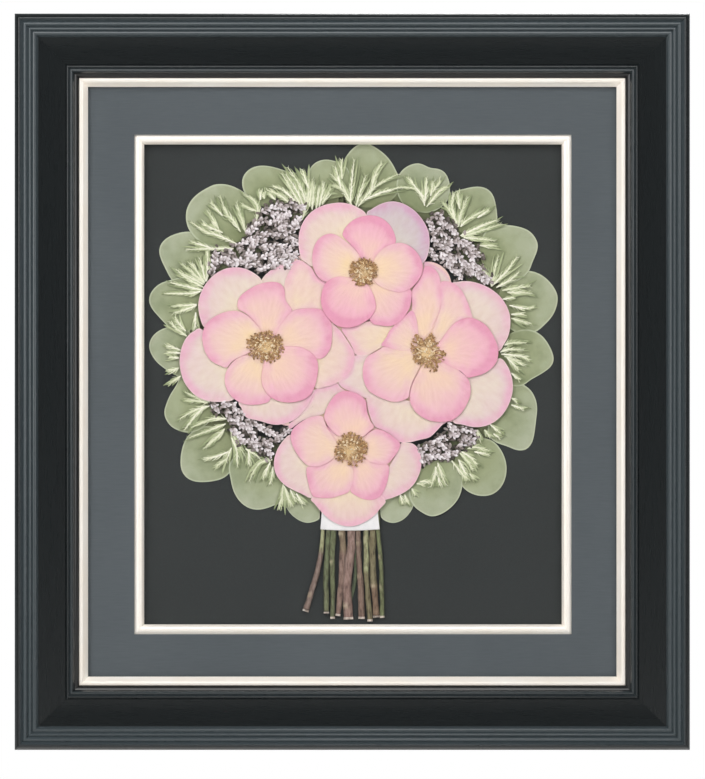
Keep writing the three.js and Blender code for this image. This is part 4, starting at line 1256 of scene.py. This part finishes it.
# Each spray: its blades, as lines of squares from foot to tip.
SPRAYS = {
    "left_1": [
        [(206, 281), (207, 262), (207, 250)], [(205, 281), (199, 257)], [(204, 282), (189, 261)],
        [(204, 283), (181, 263)], [(203, 284), (178, 271)], [(203, 290), (190, 287), (169, 282)],
        [(200, 291), (188, 293), (163, 293)], [(203, 287), (190, 280), (174, 268)],
        [(196, 304), (185, 305), (170, 306)], [(196, 305), (185, 309), (172, 313)],
        [(195, 312), (194, 330)], [(186, 336), (178, 330), (168, 321)],
        [(185, 331), (178, 323), (174, 316)],
    ],
    "left_2": [
        [(180, 350), (165, 345)], [(180, 353), (166, 352)], [(178, 358), (168, 357)],
        [(178, 368), (167, 372)], [(180, 376), (168, 384)],
    ],
    "top_left_3": [
        [(245, 231), (241, 218), (236, 201)], [(240, 231), (232, 219), (226, 213), (219, 194)],
        [(222, 215), (210, 201)], [(218, 228), (213, 220), (206, 209)],
        [(222, 232), (208, 226), (202, 222)], [(236, 243), (218, 235), (205, 231), (190, 221)],
        [(233, 248), (214, 248), (185, 249)], [(210, 247), (190, 241)],
        [(256, 220), (257.5, 208), (254, 200), (243, 193)], [(256, 210), (240, 204)],
    ],
    "top_left_2": [
        [(260, 199), (260, 190)], [(264, 198), (263, 191)], [(275, 199), (268, 192)],
        [(302, 219), (307, 200), (309, 178)], [(300, 204), (292, 190), (281, 172)],
        [(297, 203), (284, 190), (272, 185)], [(305, 200), (300, 185), (287, 166)],
        [(308, 187), (302, 168)], [(290, 203), (279, 194), (266, 189)],
        [(303, 204), (295, 187), (285, 173)], [(309, 206), (311, 192), (312, 178)],
    ],
    "top_left_1": [
        [(312, 209), (313, 195), (314, 182)], [(319, 206), (322, 192), (324, 181)],
        [(316, 208), (318, 196), (319, 184)], [(322, 204), (327, 194), (331, 187)],
    ],
    "top": [
        [(352, 205), (344, 188), (331, 173)], [(352, 205), (344, 190), (333, 184)],
        [(350, 203), (351, 190), (354, 158)], [(341, 188), (338, 176), (335, 165)],
        [(342, 178), (341, 158)], [(356, 206), (360, 192), (366, 174)],
        [(358, 206), (374, 187), (398, 173)], [(370, 194), (376, 172), (382, 162)],
        [(365, 199), (380, 192), (402, 186)],
    ],
    "top_right_1": [
        [(425, 205), (423, 197), (417, 189), (408, 186.5), (397, 187)],
        [(425, 200), (426, 190), (427, 176)], [(424, 196), (414, 184), (408, 176)],
        [(427, 206), (440, 190), (448, 186)], [(431, 195), (434, 180)], [(433, 191), (441, 179)],
    ],
    "top_right_2": [
        [(458, 226), (452, 205), (454, 192)], [(459, 226), (461, 214), (468, 196)],
        [(457, 222), (450, 210), (443, 201)], [(460, 208), (458, 190)],
        [(461, 226), (468, 219), (488, 208)], [(478, 217), (490, 209)],
    ],
    "top_right_3": [
        [(461, 235), (480, 226), (498, 219)], [(462, 236), (475, 232), (503, 223)],
        [(464, 237), (478, 238), (496, 240)], [(480, 245), (497, 245)],
    ],
    "right_1": [
        [(492, 286), (494, 276), (499, 254)], [(492, 284), (482, 264)],
        [(493, 285), (508, 270), (518, 256)], [(497, 287), (510, 280), (520, 271)],
        [(503, 290), (520, 287), (531, 285.5)], [(508, 292), (520, 292), (533, 293)],
        [(503, 299), (515, 297)], [(510, 305), (525, 308), (535, 306.5)],
        [(512, 314), (525, 314)], [(512, 318), (533, 324)],
    ],
    "right_2": [
        [(505, 345), (512, 343), (528, 342.5)], [(501, 352), (510, 349), (525, 350)],
        [(502, 354), (522, 356), (530, 360)], [(505, 356), (526, 365)],
        [(508, 358), (520, 370)], [(512, 373), (520, 380)],
    ],
    "right_3": [
        [(512, 398), (518, 402)], [(512, 405), (525, 409)], [(490, 424), (502, 434)],
        [(485, 430), (491, 437)], [(494, 434), (500, 438)], [(478, 430), (479, 440)],
    ],
    "low_right_3": [
        [(468, 449), (478, 447.5), (490, 451)], [(475, 452), (490, 455)],
        [(462, 452), (470, 457), (478, 465)], [(460, 453), (468, 462), (474, 471)],
        [(459, 460), (464, 470), (468, 480)], [(470, 474), (475, 480)],
    ],
    "low_right_2": [
        [(452, 461), (464, 476), (467, 481)], [(438, 463), (441, 472), (446, 485)],
        [(436, 467), (436, 474), (431, 488)], [(439, 478), (440, 486)],
    ],
    "low_right_1": [
        [(400, 494), (403, 505)], [(405, 495), (407, 503)], [(412, 489), (416, 496)],
        [(417, 484), (425, 485)], [(420, 482), (432, 482)],
    ],
    "low_left_1": [
        [(283, 484), (281, 500), (279, 510)], [(284, 486), (288, 500), (291, 507)],
        [(290, 490), (296, 503)], [(296, 494), (303, 505)],
    ],
    "low_left_2": [
        [(272, 460), (262, 462), (254, 470), (249, 482)], [(270, 462), (262, 480)],
        [(273, 467), (270, 485)], [(230, 431), (236, 442), (246, 458)],
        [(245, 449), (260, 458)], [(248, 451), (249, 467)],
    ],
    "low_left_3": [
        [(231, 438), (236, 450), (237, 468)], [(231, 448), (225, 462)],
        [(228, 452), (215, 457), (202, 460)], [(226, 459), (214, 468)],
    ],
    "left_3": [
        [(210, 402), (200, 399), (184, 392)], [(207, 403), (195, 401), (183, 401)],
        [(209, 406), (195, 410), (179, 419)], [(203, 408), (195, 415), (183, 431)],
        [(226, 419), (212, 419), (190, 428)], [(225, 424), (213, 429), (188, 438)],
        [(224, 429), (215, 439), (203, 449)],
    ],
}


def spray_material():
    """Dried fern tips: cream with a green cast on the blades, greener by a lower tone."""
    material, shader, tree = new_material("spray_cream", (226, 228, 196), 0.75)
    clouds, grit = mottle(tree, object_place(tree), 160.0, 1600.0)
    mixed = worked_out(tree, "ADD", attribute(tree, "tone"), spread(tree, clouds, -0.12, 0.12))
    shades = ramp(tree, mixed, (0.0, 112, 122, 84), (0.3, 150, 160, 120), (0.6, 196, 203, 162),
                  (0.85, 230, 231, 203), (1.0, 246, 243, 226))
    tree.links.new(shades, shader.inputs["Base Color"])
    rough_and_raised(tree, shader, grit, 0.65, 0.85, 0.06, 0.4)
    return material


def blade(bm, tone, stroke, wide, levels, shade):
    """A tapering flat blade in bm along a stroke of squares. Returns the line that it follows."""
    line = open_curve([placed(*square, 0) for square in stroke], 4)
    last = len(line) - 1
    for step, place in enumerate(line):
        place.y = BACK - (levels[0] + (levels[1] - levels[0]) * step / last) * MM
    swell = [0.35 + 0.65 * math.sin(math.pi * min(1, 0.12 + 0.82 * step / last))
             for step in range(last + 1)]
    sizes = [(wide * share, BLADE_THICKNESS * (0.5 + 0.5 * share)) for share in swell]
    sizes[-1] = (0.25, 0.25)
    for step, ring in enumerate(tube(bm, line, sizes, BLADE_SIDES)):
        for vert in ring:
            vert[tone] = shade - 0.25 * (step / last) ** 2
    return line


def hand_of(number):
    """The side of a blade that the pieces along it take in turn."""
    return 1 if number % 2 else -1


def needles(bm, tone, line, dice):
    """Fine needles in bm along a blade's line, smaller towards its tip."""
    count = max(2, round(length_of(line) / NEEDLE_SPACING))
    for number in range(count):
        share = (number + 1) / (count + 1)
        place, way = along_line(line, share)
        lean = Matrix.Rotation(hand_of(number) * dice.uniform(*NEEDLE_LEAN), 3, "Y")
        out = lean @ way.normalized()
        size = [side * dice.uniform(0.7, 1.15) * (1.1 - 0.5 * share) for side in NEEDLE]
        spot = place + out * size[0] / 2 * MM + Vector((0, 0.12 * MM, 0))
        stand = laid(spot, out, size) @ Matrix.Rotation(math.pi / 2, 4, "Y")
        made = bmesh.ops.create_cone(
            bm, cap_ends=True, segments=4, radius1=0.5, radius2=0.08, depth=1, matrix=stand)
        shade = dice.uniform(*NEEDLE_TONES)
        for vert in made["verts"]:
            vert[tone] = shade


def side_blades(bm, tone, line, dice):
    """Short blades in bm that branch off a blade's line and bend to its own way."""
    count = max(2, round(length_of(line) / SIDE_BLADE_SPACING))
    for number in range(count):
        share = 0.1 + 0.65 * (number + dice.random()) / count
        place, way = along_line(line, share)
        way = way.normalized()
        out = Matrix.Rotation(hand_of(number) * dice.uniform(*SIDE_BLADE_LEAN), 3, "Y") @ way
        reach = dice.uniform(*SIDE_BLADE_REACH) * (1.1 - 0.6 * share) * MM
        bend = place + (out + out + way) / 3 * reach * 0.55
        tip = place + (out + way) / 2 * reach
        blade(bm, tone, [square_of(spot) for spot in (place, bend, tip)], SIDE_BLADE,
              SIDE_BLADE_LEVELS, dice.uniform(*SIDE_BLADE_TONES))


def under_blades(bm, tone, stroke, dice):
    """Broader, greener blades in bm that fan out from the foot of one, below it."""
    for number in range(UNDER_BLADES):
        swing = hand_of(number) * dice.uniform(*UNDER_SWAY)
        sway = swing * (1 + number / 2) / (len(stroke) - 1)
        turned = [
            (column + sway * step, row + dice.uniform(-1, 1) * sway * step)
            for step, (column, row) in enumerate(stroke)
        ]
        blade(bm, tone, turned, UNDER_BLADE * dice.uniform(0.5, 1.0),
              (UNDER_LEVEL, UNDER_LEVEL), dice.uniform(*UNDER_TONES))


spray_cream = spray_material()
for leaf, strokes in SPRAYS.items():
    dice = random.Random(f"spray {leaf}")
    bm = bmesh.new()
    tone = bm.verts.layers.float.new("tone")
    for stroke in strokes:
        line = blade(bm, tone, stroke, BLADE * dice.uniform(0.75, 1.1), BLADE_LEVELS,
                     dice.uniform(*BLADE_TONES))
        needles(bm, tone, line, dice)
        side_blades(bm, tone, line, dice)
        under_blades(bm, tone, stroke, dice)
    bmesh.ops.recalc_face_normals(bm, faces=bm.faces)
    spray = make_piece(f"spray_{leaf}", bm, spray_cream)
    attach(spray, "root")

# ------------------------------------------------------------------- stems
# Nine woody stems below the bouquet, pressed a little flat, some with leaf nodes,
# and a thin tenth one behind them. All are cut off straight across.
STEM_THICKNESS = 2.0
STEM_LEVEL = 6.0
STEM_SIDES = 12
STEM_SPREAD = 1.15  # how much pressing has widened each
STEM_UNEVEN = 0.22  # how much its width comes and goes, as a share
STEM_SWAY = 0.5
COLOUR_TURN = 6  # rows in which the colour above turns into the one below
NODE_REACH = 1.8  # rows from a node's middle to where its swelling dies away
NODE_SWELL = 0.12
THIN_STEM_LEVEL = 5.2
THIN_STEM_THICKNESS = 1.0
# A stem's sides and back are painted darker than its face: painted shade.
SIDE_PAINTED_SHADE = 0.25  # how light a stem's sides are, beside its face
CUT = colour(236, 228, 222)
CUT_LENGTH = 1.5
NODE_PALE_AND_HIGHLIGHT = colour(222, 212, 184)

# Each stem: its width above and below, its line of squares, its colour above, the row where
# that turns into its colour below, and the rows of its nodes.
STEMS = [
    ((3.2, 5.6), [(323.2, 510), (322.9, 532), (320.8, 553), (317, 573), (311.5, 592), (305.3, 612.5)],
     (184, 190, 150), 552, (146, 128, 120), [596]),
    ((4.6, 4.8), [(328, 510), (328.1, 532), (327.4, 553), (326, 575), (325.9, 595), (326.2, 614.5)],
     (112, 122, 90), 590, (120, 126, 96), []),
    ((5.4, 4.0), [(333.4, 510), (333.2, 532), (332.5, 550), (332.2, 570), (332.6, 590), (332.6, 620)],
     (118, 128, 94), 600, (112, 120, 90), [563]),
    ((6.2, 4.6), [(342.2, 510), (342, 532), (342.8, 550), (342, 565), (340.6, 590), (337.9, 617)],
     (146, 130, 108), 553, (150, 126, 116), [534]),
    ((6.8, 9.0), [(351.2, 510), (351.4, 532), (351, 550), (348.4, 568), (347, 590), (348.6, 620.5)],
     (164, 140, 132), 570, (160, 134, 126), [606]),
    ((3.8, 6.0), [(358.2, 510), (358.4, 532), (358.6, 550), (359.2, 568), (361, 590), (361.3, 620)],
     (138, 118, 106), 560, (142, 120, 108), [544, 577]),
    ((4.4, 5.0), [(365.8, 510), (366, 532), (366.4, 558), (366.4, 575), (367.8, 595), (370, 622.5)],
     (178, 184, 144), 572, (132, 126, 96), [540]),
    ((6.2, 5.8), [(372.8, 510), (372.8, 532), (372.6, 555), (373.2, 575), (375, 598), (376.6, 618.5)],
     (136, 130, 100), 586, (140, 118, 98), [586]),
    ((3.6, 4.0), [(378.2, 510), (378.4, 532), (379.8, 550), (381, 568), (382, 590), (382.2, 619)],
     (124, 134, 96), 575, (120, 130, 92), [558, 588]),
]
THIN_STEM = ((3.4, 3.4), [(354.6, 540), (355.6, 562), (354.6, 584), (350, 604)],
             (88, 100, 74), 580, (84, 96, 72), [])


def stem_material():
    """Dried woody stem: long fibres over its painted-in colours, which change along it and are
    darkened at its sides as painted shade.
    """
    material, shader, tree = new_material("stem_woody", (130, 126, 96), 0.75)
    paint = add_node(tree, "ShaderNodeAttribute", attribute_name="paint").outputs["Color"]
    place = object_place(tree)
    _, fibres = mottle(tree, stretched(tree, place, (1.0, 1.0, 0.12)), 500.0, 1100.0)
    blotches, _ = mottle(tree, stretched(tree, place, (1.0, 1.0, 0.4)), 420.0, 1100.0)
    streaks = ramp(tree, averaged(tree, 0.5, blotches, fibres), (0.34, 134, 122, 114),
                   (0.5, 220, 212, 206), (0.64, 255, 255, 252))
    tree.links.new(blended(tree, 1.0, paint, streaks, "MULTIPLY"), shader.inputs["Base Color"])
    rough_and_raised(tree, shader, fibres, 0.6, 0.85, 0.15, 0.6)
    return material


def stem_piece(name, stem, level, thickness, material):
    """One stem, a little swollen and paler at its nodes, most on their left side as a painted
    highlight, with its sides and back darkened as painted shade, and a pale cut end.
    """
    (above, below), squares, upper, change, lower, nodes = stem
    line = open_curve([placed(*square, level) for square in squares], 8)
    end = line[-1]
    line.insert(-1, end + (line[-2] - end).normalized() * CUT_LENGTH * MM)
    rows = [square_of(place)[1] for place in line]
    turned = [min(1, max(0, (row - change) / COLOUR_TURN + 0.5)) for row in rows]
    swell = [sum(math.exp(-((row - node) / NODE_REACH) ** 2) for node in nodes) for row in rows]
    uneven = [noise.noise(place * 130) for place in line]
    widths = [above + (below - above) * (row - rows[0]) / (rows[-1] - rows[0]) for row in rows]
    fullness = [STEM_SPREAD + NODE_SWELL * rise + STEM_UNEVEN * bump
                for rise, bump in zip(swell, uneven)]
    sizes = [(width * SQUARE / MM * full, thickness) for width, full in zip(widths, fullness)]
    for place in line:
        place.x += noise.noise(place * 90 + Vector((0, 3, 0))) * STEM_SWAY * MM
    bm = bmesh.new()
    paint = bm.verts.layers.float_color.new("paint")
    rings = tube(bm, line, sizes, STEM_SIDES)
    for ring, place, (wide, _), share, rise in zip(rings, line, sizes, turned, swell):
        bark = Vector(colour(*upper)).lerp(Vector(colour(*lower)), share)
        for vert in ring:
            forward = (place.y - vert.co.y) / (thickness / 2 * MM)
            aside = (vert.co.x - place.x) / (wide / 2 * MM)
            # Each node is paler, and more so on its left side as a painted highlight; the sides and
            # back are darkened as painted shade.
            shade = bark.lerp(Vector(NODE_PALE_AND_HIGHLIGHT), min(1, rise) * max(0, 0.35 - 0.65 * aside))
            vert[paint] = shade * (SIDE_PAINTED_SHADE + (1 - SIDE_PAINTED_SHADE) * max(0, forward))
    for vert in rings[-1] + rings[-2]:
        vert[paint] = CUT
    bmesh.ops.recalc_face_normals(bm, faces=bm.faces)
    for face in bm.faces:
        face.smooth = len(face.verts) == 4
    return make_piece(name, bm, material)


stem_woody = stem_material()
for number, stem in enumerate(STEMS, 1):
    piece = stem_piece(f"stem_{number}_dried", stem, STEM_LEVEL, STEM_THICKNESS, stem_woody)
    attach(piece, "root")
    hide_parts(f"stem_{number}")
thin_stem = stem_piece(
    "stem_10_dried", THIN_STEM, THIN_STEM_LEVEL, THIN_STEM_THICKNESS, stem_woody)
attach(thin_stem, "root")

# ------------------------------------------------------------------ ribbon
# White satin ribbon wrapped once round the stems and glued behind them. It flares
# a little downward, and its lower edge bows.
RIBBON_ROWS = (499, 503, 508, 513, 518, 523, 527, 530)
RIBBON_SIDES = ((322.5, 377.5), (320.2, 380))  # left and right edges, at the top and the bottom
RIBBON_LEVELS = (4.55, 7.45)
RIBBON_WEAVE = 0.2
RIBBON_PLACES = 64
RIBBON_ROUND = (0.8, 0.3)  # how the band rounds over its sides and its face: 1 is an oval, 0 a box
RIBBON_FOLD = 0.22
RIBBON_BOW = 1.2  # how far the lower edge hangs in its middle, in squares


def satin_material():
    """White satin: a fine weave with a soft sheen, and faint grey painted in cloudy patches as crease
    shade.
    """
    material, shader, tree = new_material("white_ribbon", (244, 242, 242), 0.5)
    place = object_place(tree)
    painted_crease_shade, _ = mottle(tree, stretched(tree, place, (1.0, 1.0, 0.3)), 90.0, 400.0)
    threads = add_node(tree, "ShaderNodeTexWave", {
        "Vector": place, "Scale": 900.0, "Distortion": 0.4, "Detail": 1.0},
        wave_type="BANDS", bands_direction="Z")
    # Faint grey patches painted over the white stand in for shade in creases.
    shades = ramp(tree, painted_crease_shade, (0.3, 226, 224, 225), (0.6, 243, 241, 240))
    tree.links.new(shades, shader.inputs["Base Color"])
    shader.inputs["Sheen Weight"].default_value = 0.25
    rough_and_raised(tree, shader, threads.outputs["Fac"], 0.4, 0.5, 0.03, 0.25)
    return material


def ribbon_band():
    """The band: a ring of places for each of its rows, bridged from each to the next."""
    bm = bmesh.new()
    top, bottom = RIBBON_ROWS[0], RIBBON_ROWS[-1]
    edges = []
    for row in RIBBON_ROWS:
        share = (row - top) / (bottom - top)
        left, right = (a + (b - a) * share for a, b in zip(*RIBBON_SIDES))
        middle = placed((left + right) / 2, row, sum(RIBBON_LEVELS) / 2)
        half_wide = (right - left) / 2 * SQUARE
        half_thick = (RIBBON_LEVELS[1] - RIBBON_LEVELS[0]) / 2 * MM
        ring = bmesh.ops.create_circle(bm, segments=RIBBON_PLACES, radius=1)["verts"]
        for vert in ring:
            across, out = vert.co.xy
            flat = math.copysign(abs(across) ** RIBBON_ROUND[0], across)
            full = math.copysign(abs(out) ** RIBBON_ROUND[1], out)
            fold = noise.noise(Vector((flat * 9, out, row * 0.05))) * RIBBON_FOLD * MM
            bow = -RIBBON_BOW * SQUARE * share * (1 - flat * flat)
            vert.co = middle + Vector((half_wide * flat, half_thick * full + fold, bow))
        round_it = list({edge for vert in ring for edge in vert.link_edges})
        if edges:
            bmesh.ops.bridge_loops(bm, edges=edges + round_it)
        edges = round_it
    bmesh.ops.recalc_face_normals(bm, faces=bm.faces)
    for face in bm.faces:
        face.smooth = True
    return bm


ribbon = make_piece("ribbon", ribbon_band(), satin_material())
finish_sheet(ribbon, RIBBON_WEAVE, 1)
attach(ribbon, "root")
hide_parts("stem_wrap")

# ------------------------------------------------------------ hanger nails
# Two zinc plated nails, driven through the ends of the hanger, hold it to the top
# rail. Their domed heads stand on its back face.
NAIL_HEAD = (5.0, 1.1)  # across, and how far it stands up
NAIL_FROM_END = 5.0
hanger_low, hanger_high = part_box("sawtooth_hanger")
for side, column in (("left", hanger_low.x + NAIL_FROM_END * MM),
                     ("right", hanger_high.x - NAIL_FROM_END * MM)):
    bm = bmesh.new()
    bmesh.ops.create_uvsphere(bm, u_segments=24, v_segments=12, radius=0.5)
    cut = bmesh.ops.bisect_plane(
        bm, geom=bm.verts[:] + bm.edges[:] + bm.faces[:], plane_co=(0, 0, 0),
        plane_no=(0, 0, -1), clear_outer=True)["geom_cut"]
    bmesh.ops.contextual_create(bm, geom=[e for e in cut if isinstance(e, bmesh.types.BMEdge)])
    across, height = NAIL_HEAD
    bmesh.ops.scale(bm, vec=(across * MM, across * MM, 2 * height * MM), verts=bm.verts)
    spot = Vector((column, hanger_high.y, (hanger_low.z + hanger_high.z) / 2))
    stand = Matrix.Translation(spot) @ Matrix.Rotation(-math.pi / 2, 4, "X")
    bmesh.ops.transform(bm, matrix=stand, verts=bm.verts)
    bmesh.ops.recalc_face_normals(bm, faces=bm.faces)
    for face in bm.faces:
        face.smooth = len(face.verts) <= 4
    nail = make_piece(f"hanger_nail_{side}", bm, hanger_steel)
    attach(nail, "root")
